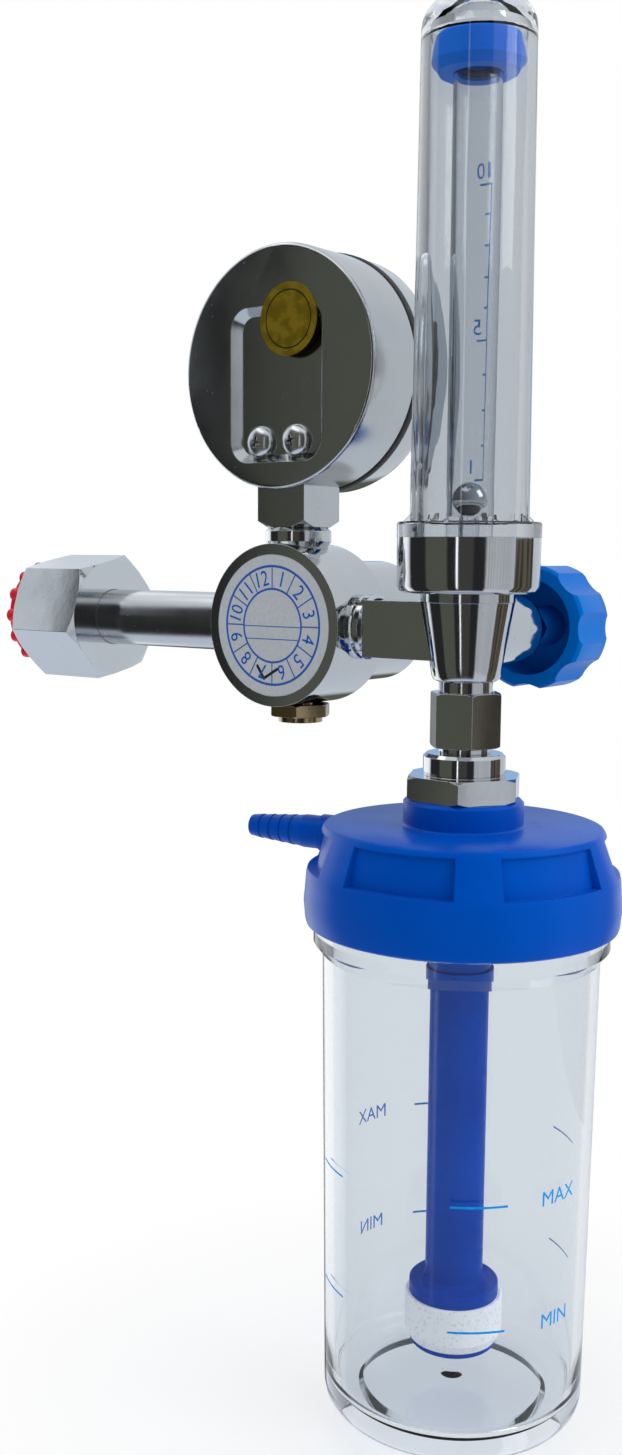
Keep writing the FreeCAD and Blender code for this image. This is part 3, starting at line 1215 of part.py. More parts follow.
def bottle_lid():
    """Moulded lid: neck, sloped top with six grip bars, skirt, hose barb and inner spigot."""
    outer = turned("Z", ON_FLOW, [
        (LID_TOP, 0), (LID_TOP, LID_TOP_RADIUS - 1.0), (LID_TOP - 0.3, LID_TOP_RADIUS - 0.3),
        (LID_TOP - 1.0, LID_TOP_RADIUS + 0.2), (LID_LEDGE, LID_SKIRT_RADIUS - 0.3),
        (LID_LEDGE - 1.0, LID_SKIRT_RADIUS), (LID_WAIST, LID_WAIST_RADIUS),
        (LID_BOTTOM + 1.4, LID_SKIRT_RADIUS + 0.2),
        (LID_BOTTOM + 0.4, LID_SKIRT_RADIUS - 0.1), (LID_BOTTOM, LID_SKIRT_RADIUS - 0.7), (LID_BOTTOM, 0)])
    sweep = 360.0 / LID_BARS - LID_BAR_ANGLE
    recess_outline = [(LID_TOP - 1.6, LID_TOP_RADIUS - 0.4), (LID_TOP - 1.6, LID_SKIRT_RADIUS + 5),
                      (LID_LEDGE, LID_SKIRT_RADIUS + 5), (LID_LEDGE, LID_PANEL_RADIUS)]
    recesses = []
    for k in range(LID_BARS):
        start = LID_BAR_TURN + 360.0 / LID_BARS * k + LID_BAR_ANGLE / 2
        recesses.append(lid_ring(recess_outline, start, sweep))
    spigot_top = UNION_TOP - UNION_ROOF - NIPPLE_FLANGE - FLAT_GAP
    neck = turned("Z", ON_FLOW, [
        (LID_TOP - 1, 0), (LID_TOP - 1, LID_NECK_RADIUS + 0.4), (LID_TOP, LID_NECK_RADIUS + 0.4),
        (LID_TOP + 0.4, LID_NECK_RADIUS), (UNION_HEX_BOTTOM - 0.8, LID_NECK_RADIUS),
        (UNION_HEX_BOTTOM, LID_NECK_RADIUS - 0.8), (UNION_HEX_BOTTOM, UNION_BORE - THREAD_GAP),
        (spigot_top, UNION_BORE - THREAD_GAP), (spigot_top, 0)])
    bead = LID_SPIGOT_BOTTOM + LID_SPIGOT_BEAD_HEIGHT
    inner_spigot = turned("Z", ON_FLOW, [
        (lid_roof() + 1, 0), (lid_roof() + 1, LID_SPIGOT_RADIUS), (bead, LID_SPIGOT_RADIUS),
        (bead, LID_SPIGOT_BEAD), (LID_SPIGOT_BOTTOM, LID_SPIGOT_BEAD), (LID_SPIGOT_BOTTOM, 0)])
    arm = barb()
    arm.translate(V(0, 0, BARB_AXIS))
    arm.rotate(V(0, 0, 0), UP, LID_BAR_TURN)
    arm.translate(V(FLOW_X, 0, 0))
    neck_bore = BOTTLE_NECK_RADIUS + NECK_GAP
    hollow = turned("Z", ON_FLOW, [
        (lid_roof(), LID_SPIGOT_RADIUS), (lid_roof(), LID_CHAMBER_RADIUS), (LID_SEAT, LID_CHAMBER_RADIUS),
        (LID_SEAT, neck_bore), (LID_THREAD_BOTTOM, neck_bore), (LID_THREAD_BOTTOM - 1.5, LID_SKIRT_BORE),
        (LID_BOTTOM - 1, LID_SKIRT_BORE), (LID_BOTTOM - 1, LID_SPIGOT_RADIUS)])
    nose = NIPPLE_NOSE_RADIUS + SOFT_GAP
    nose_end = spigot_top - NIPPLE_NOSE - 1.0
    dip = DIP_BORE + 1.0 + THREAD_GAP
    dip_end = LID_SPIGOT_BOTTOM + DIP_INSERT
    throat = turned("Z", ON_FLOW, [
        (spigot_top + 1, 0), (spigot_top + 1, nose), (nose_end, nose), (nose_end, NIPPLE_BORE),
        (dip_end, NIPPLE_BORE), (dip_end, dip), (LID_SPIGOT_BOTTOM - 1, dip), (LID_SPIGOT_BOTTOM - 1, 0)])
    gas_out = rod("X", (0, 0), BARB_BORE, LID_CHAMBER_RADIUS - 0.5, BARB_ROOT + BARB_LENGTH + 1)
    gas_out.translate(V(0, 0, BARB_AXIS))
    gas_out.rotate(V(0, 0, 0), UP, LID_BAR_TURN)
    gas_out.translate(V(FLOW_X, 0, 0))
    shape = outer.cut(recesses)
    return joined([shape, neck, inner_spigot, arm]).cut([hollow, throat, gas_out])


def bottle_gasket():
    """Flat ring between the lid's seat and the bottle's rim."""
    top = LID_SEAT - FLAT_GAP
    outer = BOTTLE_NECK_RADIUS
    return tube("Z", ON_FLOW, outer, outer - GASKET_WIDTH, top - GASKET_HEIGHT, top)


# Bottle, dip tube and diffuser

def bottle():
    """Clear bottle: plain neck for the thread, bead under the lid, tapered wall and a raised floor."""
    rim = LID_SEAT - FLAT_GAP - GASKET_HEIGHT
    inside_top = BOTTLE_NECK_RADIUS - BOTTLE_WALL
    foot = BOTTLE_FOOT_RADIUS
    inner_foot = foot - BOTTLE_WALL
    floor = BOTTLE_BOTTOM + FLOOR_RISE + FLOOR
    corner = [(BOTTLE_BOTTOM + BOTTLE_CORNER - BOTTLE_CORNER * math.sin(a),
               foot - BOTTLE_CORNER + BOTTLE_CORNER * math.cos(a))
              for a in [math.radians(d) for d in (0, 22.5, 45, 67.5, 90)]]
    inner_corner = BOTTLE_CORNER - 1.5
    inner_arc = [(floor + inner_corner - inner_corner * math.sin(a),
                  inner_foot - inner_corner + inner_corner * math.cos(a))
                 for a in [math.radians(d) for d in (90, 67.5, 45, 22.5, 0)]]
    ring = foot - BOTTLE_CORNER - FOOT_RING
    outline = [(rim, inside_top), (rim, BOTTLE_NECK_RADIUS), (NECK_BOTTOM, BOTTLE_NECK_RADIUS),
               (NECK_FLARE, BOTTLE_TOP_RADIUS), (BEAD_TOP, BOTTLE_TOP_RADIUS), (BEAD_TOP, BEAD_RADIUS),
               (BEAD_BOTTOM, BEAD_RADIUS), (BOTTLE_SHOULDER, BOTTLE_TOP_RADIUS)]
    outline += corner
    outline += [(BOTTLE_BOTTOM, ring + 0.8), (BOTTLE_BOTTOM + FLOOR_RISE, ring - 0.8),
                (BOTTLE_BOTTOM + FLOOR_RISE, 0), (floor + 1.2, 0), (floor + 0.8, 1.8), (floor, FLOOR_BUMP)]
    outline += inner_arc
    outline += [(NECK_FLARE - 1.0, BOTTLE_TOP_RADIUS - BOTTLE_WALL), (NECK_BOTTOM - 1.0, inside_top)]
    return turned("Z", ON_FLOW, outline)


def dip_tube():
    """Moulded dip tube with a narrow top in the lid's spigot, a flange and a core for the foam."""
    core_bottom = DISC_TOP - DISC - FOAM
    spigot = DIP_BORE + 1.0
    top = LID_SPIGOT_BOTTOM + DIP_INSERT - 0.5
    shape = turned("Z", ON_FLOW, [
        (top, DIP_BORE - 1.0), (top, spigot),
        (LID_SPIGOT_BOTTOM, spigot), (LID_SPIGOT_BOTTOM, DIP_RADIUS), (DISC_TOP + 1.0, DIP_RADIUS),
        (DISC_TOP, DIP_RADIUS + 1.0), (DISC_TOP, DISC_RADIUS - 0.4), (DISC_TOP - 0.4, DISC_RADIUS),
        (DISC_TOP - DISC, DISC_RADIUS), (DISC_TOP - DISC, DIFFUSER_STEM_RADIUS),
        (core_bottom, DIFFUSER_STEM_RADIUS), (core_bottom, 1.8), (DISC_TOP - 6.0, 1.8),
        (DISC_TOP - 6.0, DIFFUSER_STEM_RADIUS - 1.2), (DISC_TOP, DIFFUSER_STEM_RADIUS - 1.2),
        (DISC_TOP + 4.0, DIP_BORE), (LID_SPIGOT_BOTTOM - 2.0, DIP_BORE),
        (LID_SPIGOT_BOTTOM + 1.0, DIP_BORE - 1.0)])
    port_z = DISC_TOP - DISC - FOAM / 2
    port = rod("X", (0, port_z), 0.9, FLOW_X - 6, FLOW_X + 6)
    cross = rod("Y", (FLOW_X, port_z), 0.9, -6, 6)
    return shape.cut([port, cross])


def diffuser_foam():
    """White porous sleeve round the tube's core."""
    top = DISC_TOP - DISC
    bottom = top - FOAM
    inner = DIFFUSER_STEM_RADIUS + SOFT_GAP
    slope = bottom + 2 * FOAM_CHAMFER
    return turned("Z", ON_FLOW, [
        (top, inner), (top, FOAM_RADIUS - 0.5), (top - 0.5, FOAM_RADIUS), (slope, FOAM_RADIUS),
        (bottom, FOAM_RADIUS - FOAM_CHAMFER), (bottom, inner)])


def diffuser_plate():
    """Blue plate that closes the foam from below, plugged into the tube's core."""
    top = DISC_TOP - DISC - FOAM
    plate = turned("Z", ON_FLOW, [
        (top, 0), (top, LOWER_PLATE_RADIUS), (top - LOWER_PLATE + 0.3, LOWER_PLATE_RADIUS),
        (top - LOWER_PLATE, LOWER_PLATE_RADIUS - 0.3), (top - LOWER_PLATE, 0)])
    pin = rod("Z", ON_FLOW, 1.8 - THREAD_GAP, top, top + 3.0)
    return joined([plate, pin])


PIECES = {
    "inlet_nut": inlet_nut, "inlet_stem": inlet_stem, "inlet_filter": inlet_filter, "inlet_seal": inlet_seal,
    "thread_plug": thread_plug, "regulator_body": regulator_body, "date_label": date_label,
    "front_bonnet": front_bonnet, "adjusting_screw": adjusting_screw, "spring_button": spring_button,
    "main_spring": main_spring, "diaphragm": diaphragm, "diaphragm_plate": diaphragm_plate,
    "valve_seat": valve_seat, "valve_poppet": valve_poppet, "poppet_spring": poppet_spring,
    "relief_body": relief_body, "relief_poppet": relief_poppet, "relief_spring": relief_spring,
    "relief_cap": relief_cap, "gauge_case": gauge_case, "gauge_socket": gauge_socket,
    "gauge_lock_ring": gauge_lock_ring, "gauge_screws": gauge_screws, "warning_label": warning_label,
    "gauge_gasket": gauge_gasket, "gauge_bezel": gauge_bezel, "gauge_glass": gauge_glass,
    "gauge_dial": gauge_dial, "dial_ring": dial_ring, "movement_frame": movement_frame,
    "pinion_arbor": pinion_arbor, "gauge_pointer": gauge_pointer, "sector_gear": sector_gear,
    "tip_link": tip_link, "bourdon_tube": bourdon_tube, "arm_lock_ring": arm_lock_ring,
    "flowmeter_body": flowmeter_body, "gland_nut": gland_nut, "packing_ring": packing_ring,
    "valve_spindle": valve_spindle, "needle": needle, "flow_knob": flow_knob, "knob_screw": knob_screw,
    "knob_cap": knob_cap, "tube_cover": tube_cover, "metering_tube": metering_tube, "float_ball": float_ball,
    "tube_stopper": tube_stopper, "stopper_o_ring": stopper_o_ring, "flange_seal": flange_seal,
    "outlet_nipple": outlet_nipple, "union_nut": union_nut, "bottle_lid": bottle_lid,
    "bottle_gasket": bottle_gasket, "bottle": bottle, "dip_tube": dip_tube, "diffuser_foam": diffuser_foam,
    "diffuser_plate": diffuser_plate,
}


def main():
    os.makedirs("parts", exist_ok=True)
    for name, make in PIECES.items():
        shape = make()
        shape.exportStep("parts/" + name + ".step")
        print(name, "solids", len(shape.Solids), "valid", shape.isValid(), "volume", round(shape.Volume, 1))


main()
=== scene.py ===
# %% [markdown]
# # Oxygen flowmeter
# This script dresses a finished engineering model of an oxygen flowmeter. The solid shapes are
# loaded as a fixed frame, so every size is already right. What is added here is what a camera
# sees: plating, moulded plastic, clear plastic, printing and light.

# %% Load the frame
import bmesh
import bpy
import math
from mathutils import Matrix, Vector


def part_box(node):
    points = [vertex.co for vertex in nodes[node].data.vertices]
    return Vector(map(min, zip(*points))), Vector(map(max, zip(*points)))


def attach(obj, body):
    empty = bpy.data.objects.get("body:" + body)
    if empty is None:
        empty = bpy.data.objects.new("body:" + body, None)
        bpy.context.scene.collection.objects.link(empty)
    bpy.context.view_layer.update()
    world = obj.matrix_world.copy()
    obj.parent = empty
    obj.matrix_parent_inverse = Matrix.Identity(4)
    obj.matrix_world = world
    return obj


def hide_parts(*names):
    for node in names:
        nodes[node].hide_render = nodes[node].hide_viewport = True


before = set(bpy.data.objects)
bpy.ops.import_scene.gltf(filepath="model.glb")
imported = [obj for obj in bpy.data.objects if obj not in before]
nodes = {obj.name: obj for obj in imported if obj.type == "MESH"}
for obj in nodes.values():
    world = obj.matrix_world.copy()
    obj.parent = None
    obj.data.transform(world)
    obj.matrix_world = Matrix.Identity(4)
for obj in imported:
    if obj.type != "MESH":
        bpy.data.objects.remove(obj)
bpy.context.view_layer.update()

# %% [markdown]
# ## Places on the object
# The frame's origin is on the inlet axis, in the mouth of the nut, and +Z is up. A few axes are
# used again and again, so they get names. The scene is in metres, and outlines that are easier to
# read in millimetres are multiplied by MM when their points are made.

# %% Main axes
MM = 0.001
REGULATOR_X = -84.5 * MM
METER_X = -135.9 * MM
GAUGE_Z = 64.4 * MM
LABEL_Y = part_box("date_label")[1][1]
DIAL_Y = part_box("gauge_dial")[0][1]
BOTTLE_FOOT_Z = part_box("bottle")[0][2]
print("bottle's foot at", round(BOTTLE_FOOT_Z, 4))
print("label at", round(LABEL_Y, 4), "dial at", round(DIAL_Y, 4))

# %% [markdown]
# ## Camera
# The photograph looks at the back of the instrument from the left and a little above. The lens
# and the distance are chosen together, so near and far pieces keep the photograph's proportions.
# The camera's axes are built from three angles, which is easier to read than a rotation list.

# %% Camera
YAW = math.radians(37.56)
PITCH = math.radians(8.17)
ROLL = math.radians(0.31)
CAMERA_PLACE = (-0.3208, 0.3038, 0.0183)
SENSOR_MM = 36.0
FOCAL_MM = 36.32
FRAME_SHIFT = (0.0038, 0.0253)

flat = math.cos(PITCH)
forward = Vector((math.sin(YAW) * flat, -math.cos(YAW) * flat, -math.sin(PITCH)))
level = Vector((-math.cos(YAW), -math.sin(YAW), 0.0))
raised = level.cross(forward)
right = math.cos(ROLL) * level + math.sin(ROLL) * raised
up = right.cross(forward)
lens = bpy.data.cameras.new("photo_camera")
lens.sensor_width = SENSOR_MM
lens.lens = FOCAL_MM
lens.shift_x, lens.shift_y = FRAME_SHIFT
lens.clip_start = 0.01
camera = bpy.data.objects.new("photo_camera", lens)
turn = Matrix((right, up, -forward)).transposed().to_4x4()
camera.matrix_world = Matrix.Translation(CAMERA_PLACE) @ turn
bpy.context.scene.collection.objects.link(camera)
bpy.context.scene.camera = camera
print("camera at", [round(v, 4) for v in camera.location])

# %% [markdown]
# ## Shader arithmetic
# A material is a graph of nodes. Writing the graph as ordinary arithmetic keeps it readable, so
# one small class wraps a socket and turns + - * / into Math nodes. A second class starts a
# material and adds any other node by its type.

# %% A socket that can be used in arithmetic
class Signal:
    def __init__(self, tree, socket):
        self.tree = tree
        self.socket = socket

    def math(self, operation, *others):
        node = self.tree.nodes.new("ShaderNodeMath")
        node.operation = operation
        for place, value in zip(node.inputs, (self,) + others):
            plug(self.tree, place, value)
        return Signal(self.tree, node.outputs[0])

    def __add__(self, other):
        return self.math("ADD", other)

    def __sub__(self, other):
        return self.math("SUBTRACT", other)

    def __rsub__(self, other):
        return (self * -1.0).math("ADD", other)

    def __mul__(self, other):
        return self.math("MULTIPLY", other)

    def __truediv__(self, other):
        return self.math("DIVIDE", other)

    def __abs__(self):
        return self.math("ABSOLUTE")

    def root(self):
        return self.math("SQRT")

    def most(self, other):
        return self.math("MAXIMUM", other)

    def above(self, edge):
        return self.math("GREATER_THAN", edge)

    def below(self, edge):
        return self.math("LESS_THAN", edge)

    def band(self, middle, half_width):
        return abs(self - middle).below(half_width)


def plug(tree, place, value):
    if isinstance(value, Signal):
        tree.links.new(value.socket, place)
    elif isinstance(value, (tuple, list)) and len(value) == 3 and place.type == "RGBA":
        place.default_value = (*value, 1.0)
    else:
        place.default_value = value


def distance(across, rise):
    return (across * across + rise * rise).root()


# %% A node graph that grows piece by piece
class Finish:
    def __init__(self, name, world=False):
        self.owner = bpy.data.worlds.new(name) if world else bpy.data.materials.new(name)
        self.owner.use_nodes = True
        self.tree = self.owner.node_tree
        self.tree.nodes.clear()
        self.output = "ShaderNodeOutputWorld" if world else "ShaderNodeOutputMaterial"

    def node(self, kind, settings=None, inputs=None, output=0):
        node = self.tree.nodes.new(kind)
        for name, value in (settings or {}).items():
            setattr(node, name, value)
        for name, value in (inputs or {}).items():
            plug(self.tree, node.inputs[name], value)
        return Signal(self.tree, node.outputs[output])

    def place(self, kind="Object"):
        return self.node("ShaderNodeTexCoord", output=kind)

    def axes(self, vector=None):
        split = self.node("ShaderNodeSeparateXYZ", inputs={"Vector": vector or self.place()})
        node = split.socket.node
        return [Signal(self.tree, node.outputs[k]) for k in range(3)]

    def noise(self, scale, detail=2.0, rough=0.5, vector=None):
        inputs = {"Scale": scale, "Detail": detail, "Roughness": rough}
        inputs["Vector"] = vector or self.place()
        return self.node("ShaderNodeTexNoise", inputs=inputs, output="Fac")

    def spread(self, value, low, high, out_low=0.0, out_high=1.0):
        inputs = {"Value": value, "From Min": low, "From Max": high,
                  "To Min": out_low, "To Max": out_high}
        return self.node("ShaderNodeMapRange", {"clamp": True}, inputs)

    def between(self, value, low, high, soft):
        rising = self.spread(value, low - soft, low + soft)
        return rising * self.spread(value, high - soft, high + soft, 1.0, 0.0)

    def mix(self, share, first, second):
        inputs = {0: share, 6: first, 7: second}
        return self.node("ShaderNodeMix", {"data_type": "RGBA"}, inputs, output=2)

    def bump(self, height, strength, depth, normal=None):
        inputs = {"Height": height, "Strength": strength, "Distance": depth}
        if normal is not None:
            inputs["Normal"] = normal
        return self.node("ShaderNodeBump", inputs=inputs)

    def soft_edges(self, radius):
        return self.node("ShaderNodeBevel", {"samples": 4}, {"Radius": radius})

    def cells(self, scale):
        inputs = {"Scale": scale, "Vector": self.place()}
        return self.node("ShaderNodeTexVoronoi", {"feature": "F1"}, inputs, "Distance")

    def drawn_out(self, share):
        x, y, z = self.axes()
        return self.node("ShaderNodeCombineXYZ", inputs={"X": x, "Y": y, "Z": z * share})

    def principled(self, inputs):
        return self.node("ShaderNodeBsdfPrincipled", inputs=inputs)

    def glow(self, colour):
        return self.node("ShaderNodeEmission", inputs={"Color": colour, "Strength": 1.0})

    def blend(self, share, first, second):
        return self.node("ShaderNodeMixShader", inputs={0: share, 1: first, 2: second})

    def done(self, shader):
        output = self.tree.nodes.new(self.output)
        self.tree.links.new(shader.socket, output.inputs["Surface"])
        print("finish", self.owner.name, "nodes", len(self.tree.nodes))
        return self.owner


# %% [markdown]
# ## Bright plating
# The brass parts are nickel and chrome plated. Chrome reflects a little over half of the light,
# with faint ripples from polishing, small pits, and a greasy film that blurs the reflection here
# and there. Roughness carries the film, a very weak bump carries the ripples, and the edges are
# rounded in the shader, so that every corner catches a line of light as a real deburred edge
# does.

# %% Plating
PLATED_EDGE = 0.25 * MM
WORN_SHARE = 0.82
GREY_CHROME = (0.57, 0.575, 0.58)


def plating(name, colour, polish, film, ripple=0.12, grain_depth=0.08):
    finish = Finish(name)
    smear = finish.noise(55.0, 4.0, 0.6)
    grain = finish.noise(2600.0, 2.0, 0.6)
    pit = finish.cells(420.0).below(0.07) * finish.noise(120.0).above(0.56)
    clouded = finish.spread(smear, 0.35, 0.75, polish, film)
    roughness = clouded + (grain - 0.5) * 0.05 + pit * 0.25
    height = finish.noise(160.0, 2.0) * 0.7 + grain * grain_depth - pit * 0.6
    normal = finish.bump(height, ripple, 0.12 * MM, finish.soft_edges(PLATED_EDGE))
    worn = tuple(WORN_SHARE * channel for channel in colour)
    tone = finish.mix(finish.spread(smear, 0.45, 0.8) * 0.35 + pit * 0.5, colour, worn)
    return finish.done(finish.principled({
        "Base Color": tone, "Metallic": 1.0, "Roughness": roughness, "Normal": normal}))


CHROME = plating("chrome_plating", GREY_CHROME, 0.045, 0.12)
NUT_CHROME = plating("satin_nut_chrome", (0.62, 0.63, 0.64), 0.06, 0.11, grain_depth=0.2)
DULL_CHROME = plating("fine_blasted_chrome", GREY_CHROME, 0.13, 0.22, ripple=0.16, grain_depth=0.5)
SATIN = plating("satin_plating", (0.52, 0.53, 0.53), 0.12, 0.20, grain_depth=0.3)
STEEL = plating("plain_steel", (0.55, 0.55, 0.56), 0.20, 0.34)
SCREW_STEEL = plating("bright_screw_steel", (0.66, 0.66, 0.67), 0.20, 0.28)
BALL = plating("ball_steel", (0.58, 0.58, 0.57), 0.05, 0.11, ripple=0.05)
BRASS = plating("turned_brass", (0.62, 0.44, 0.20), 0.18, 0.32)
BRONZE = plating("worn_nickel_on_brass", (0.40, 0.29, 0.16), 0.14, 0.30)

# %% [markdown]
# ## Moulded plastic
# The lid, knob and stopper are glossy polypropylene in a deep blue, and the dust plug is red.
# Injection moulding leaves a faint orange-peel surface and slow colour drift where the melt
# flowed, so both come from wide noises. The gloss is tinted, because light that enters this
# plastic comes back out in its own colour.

# %% Blue and red plastic
MOULDED_EDGE = 0.5 * MM
AZURE = (0.04, 0.45, 1.0)


def moulded(name, light, deep, gloss, shine=0.26, ior=1.42):
    finish = Finish(name)
    drift = finish.noise(24.0, 3.0, 0.55)
    fine = finish.noise(520.0, 2.0)
    scuff = finish.noise(190.0, 4.0, 0.7).above(0.66)
    colour = finish.mix(finish.spread(drift, 0.3, 0.7), light, deep)
    roughness = finish.spread(drift, 0.3, 0.7, shine, shine + 0.10) + scuff * 0.08
    normal = finish.bump(fine * 0.6 + drift, 0.25, 0.08 * MM, finish.soft_edges(MOULDED_EDGE))
    return finish.done(finish.principled({
        "Base Color": colour, "Roughness": roughness, "IOR": ior,
        "Specular Tint": (*gloss, 1.0), "Normal": normal}))


BLUE = moulded("blue_plastic", (0.0, 0.078, 0.490), (0.0, 0.058, 0.410), AZURE, ior=1.32)
KNOB_BLUE = moulded("blue_knob_plastic", (0.0, 0.160, 0.600), (0.0, 0.125, 0.520), AZURE, ior=1.22)
STOPPER_BLUE = moulded(
    "blue_stopper_plastic", (0.0, 0.230, 0.900), (0.0, 0.140, 0.700), AZURE, ior=1.12)
NAVY = moulded(
    "blue_tube_plastic", (0.0, 0.066, 0.430), (0.0, 0.040, 0.320), AZURE, shine=0.20, ior=1.12)
RED = moulded(
    "red_plastic", (0.68, 0.010, 0.030), (0.56, 0.006, 0.020), (1.0, 0.25, 0.25), shine=0.34)

# %% [markdown]
# ## Clear plastic
# The tube, its cover and the bottle are clear plastics with real walls, so light bends twice in
# each wall. A refracting shell would block the lamps and cast a black shadow, so shadow rays pass
# straight through. A trace of grey-blue in the colour and a faint haze keep it from looking like
# empty air. The cover is an extruded tube, so its surface also has fine lengthwise streaks from
# the die.

# %% Clear plastic
def clear(name, tint, haze, ior=1.49, flow=0.15, drawn=0.0):
    finish = Finish(name)
    streak = finish.noise(60.0, 3.0, 0.6)
    scratch = finish.noise(700.0, 3.0, 0.7).above(0.70)
    roughness = finish.spread(streak, 0.4, 0.8, haze, haze * 2.5) + scratch * 0.03
    normal = finish.bump(finish.noise(45.0, 2.0), flow, 0.10 * MM)
    if drawn:
        lengthwise = finish.noise(150.0, 2.0, 0.6, finish.drawn_out(0.05))
        normal = finish.bump(lengthwise, drawn, 0.30 * MM, normal)
    body = finish.principled({
        "Base Color": tint, "Roughness": roughness, "IOR": ior,
        "Transmission Weight": 1.0, "Normal": normal})
    passing = finish.node("ShaderNodeBsdfTransparent", inputs={"Color": (0.90, 0.93, 0.97)})
    shadow = finish.node("ShaderNodeLightPath", output="Is Shadow Ray")
    return finish.done(finish.blend(shadow, body, passing))


ACRYLIC = clear("clear_acrylic", (0.69, 0.72, 0.75), 0.006, drawn=0.5)
TUBE_CLEAR = clear("clear_tube_plastic", (0.90, 0.915, 0.93), 0.004, flow=0.05)
BOTTLE_CLEAR = clear("clear_bottle_plastic", (0.80, 0.835, 0.87), 0.008, ior=1.36, flow=0.3)
GLASS = clear("gauge_glass_clear", (0.96, 0.97, 0.97), 0.004, ior=1.5, flow=0.03)

# %% [markdown]
# ## Soft and porous pieces
# The seals are black rubber with a dusty sheen. The diffuser is a white sintered foam: its pores
# are small pits, made with a cell pattern that also drives the bump, and their darker grey is
# painted shade in the pits.

# %% Rubber and foam
def rubber(name):
    finish = Finish(name)
    dust = finish.noise(220.0, 4.0, 0.7)
    colour = finish.mix(finish.spread(dust, 0.4, 0.8), (0.012, 0.012, 0.013), (0.045, 0.045, 0.046))
    normal = finish.bump(finish.noise(900.0), 0.3, 0.1 * MM)
    roughness = finish.spread(dust, 0.3, 0.8, 0.5, 0.75)
    return finish.done(finish.principled({
        "Base Color": colour, "Roughness": roughness, "Normal": normal}))


def foam(name):
    finish = Finish(name)
    pores = finish.cells(950.0).below(0.34) * finish.noise(1400.0).above(0.44)
    # The darker grey in the pores is painted shade in the pits; the bump below carves them.
    colour = finish.mix(pores * 0.5, (0.88, 0.88, 0.88), (0.60, 0.61, 0.63))
    normal = finish.bump(finish.noise(1100.0, 3.0) - pores * 0.6, 0.7, 0.25 * MM)
    return finish.done(finish.principled({
        "Base Color": colour, "Roughness": 0.95, "Normal": normal}))


RUBBER = rubber("black_rubber")
FOAM = foam("white_foam")

# %% [markdown]
# ## Printed date label
# A round paper label fills the recess in the regulator's back. It carries a ring of twelve month
# fields and two ruled lines. Rings and lines are drawn by arithmetic on the distance from the
# label's centre, so they stay sharp at any zoom. A tick of black marker is two strokes: the
# distance to a line segment, cut at a width. The month numbers are added later as thin printed
# shapes.

# %% Date label paper
RING_OUT = 15.1 * MM
RING_IN = 9.35 * MM
RING_LINE_OUT = 0.32 * MM
RING_LINE_IN = 0.28 * MM
DIVIDER = 0.18 * MM
RULED_HEIGHTS = (-0.2 * MM, -3.45 * MM)
RULED_LINE = 0.13 * MM
PEN_MARK = ((4.8, -10.5), (2.7, -13.6), (-1.8, -11.0))
PEN_WIDTHS = (0.42, 0.38)


def stroke(across, rise, start, end, half_width):
    run = (end[0] - start[0], end[1] - start[1])
    reach = run[0] * run[0] + run[1] * run[1]
    along = ((across - start[0]) * run[0] + (rise - start[1]) * run[1]) / reach
    along = along.math("MINIMUM", 1.0).most(0.0)
    gap_x = across - start[0] - along * run[0]
    gap_z = rise - start[1] - along * run[1]
    return distance(gap_x, gap_z).below(half_width)


def date_label_finish():
    finish = Finish("date_label_paper")
    x, y, z = finish.axes()
    across = x - REGULATOR_X
    radius = distance(across, z)
    ink = radius.band(RING_OUT, RING_LINE_OUT).most(radius.band(RING_IN, RING_LINE_IN))
    field = radius.band((RING_OUT + RING_IN) / 2, (RING_OUT - RING_IN) / 2)
    for step in range(6):
        angle = math.radians(30 * step)
        away = abs(across * math.cos(angle) - z * math.sin(angle))
        ink = ink.most(away.below(DIVIDER) * field)
    inner = radius.below(RING_IN)
    for height in RULED_HEIGHTS:
        ink = ink.most(z.band(height, RULED_LINE) * inner)
    fibre = finish.noise(900.0, 3.0, 0.6)
    paper = finish.mix(finish.spread(fibre, 0.3, 0.7), (0.42, 0.45, 0.48), (0.48, 0.51, 0.54))
    colour = finish.mix(ink, paper, (0.004, 0.085, 0.40))
    points = [(a * MM, b * MM) for a, b in PEN_MARK]
    strokes = [stroke(across, z, points[k], points[k + 1], width * MM)
               for k, width in enumerate(PEN_WIDTHS)]
    colour = finish.mix(strokes[0].most(strokes[1]), colour, (0.008, 0.008, 0.010))
    normal = finish.bump(fibre, 0.08, 0.05 * MM)
    return finish.done(finish.principled({
        "Base Color": colour, "Roughness": 0.50 - ink * 0.08, "Normal": normal}))


DATE_LABEL = date_label_finish()

# %% [markdown]
# ## Film label
# The film over the gauge's pocket is a dark olive foil with one black ring printed on it. It is a
# little blotchy, and a wide bump shows how it wrinkles where it bridges the pocket's edge.

# %% Film label
FILM_X = REGULATOR_X - 4.2 * MM
FILM_Z = GAUGE_Z + 11.3 * MM
FILM_RING = 7.0 * MM
FILM_RING_LINE = 0.18 * MM


def film_label_finish():
    finish = Finish("olive_film")
    x, y, z = finish.axes()
    ring = distance(x - FILM_X, z - FILM_Z).band(FILM_RING, FILM_RING_LINE)
    blotch = finish.noise(330.0, 3.0, 0.6)
    cloud = finish.spread(blotch, 0.42, 0.58)
    film = finish.mix(cloud, (0.095, 0.068, 0.0015), (0.150, 0.105, 0.003))
    colour = finish.mix(ring, film, (0.008, 0.008, 0.006))
    normal = finish.bump(finish.noise(230.0, 2.0), 0.35, 0.15 * MM)
    return finish.done(finish.principled({
        "Base Color": colour, "Roughness": finish.spread(blotch, 0.3, 0.7, 0.30, 0.42),
        "Specular Tint": (1.0, 0.8, 0.2, 1.0), "Normal": normal}))


FILM = film_label_finish()

# %% [markdown]
# ## Gauge dial
# The dial is white paint with a 270 degree scale. The ticks are drawn from the angle and the
# radius: a repeated angle gives the small marks, and every fifth one is longer.

# %% Dial paint
DIAL_START = -135.0
DIAL_SWEEP = 270.0
LONG_STEP = DIAL_SWEEP / 5
SHORT_STEP = DIAL_SWEEP / 25
DIAL_LINE = 23.6 * MM


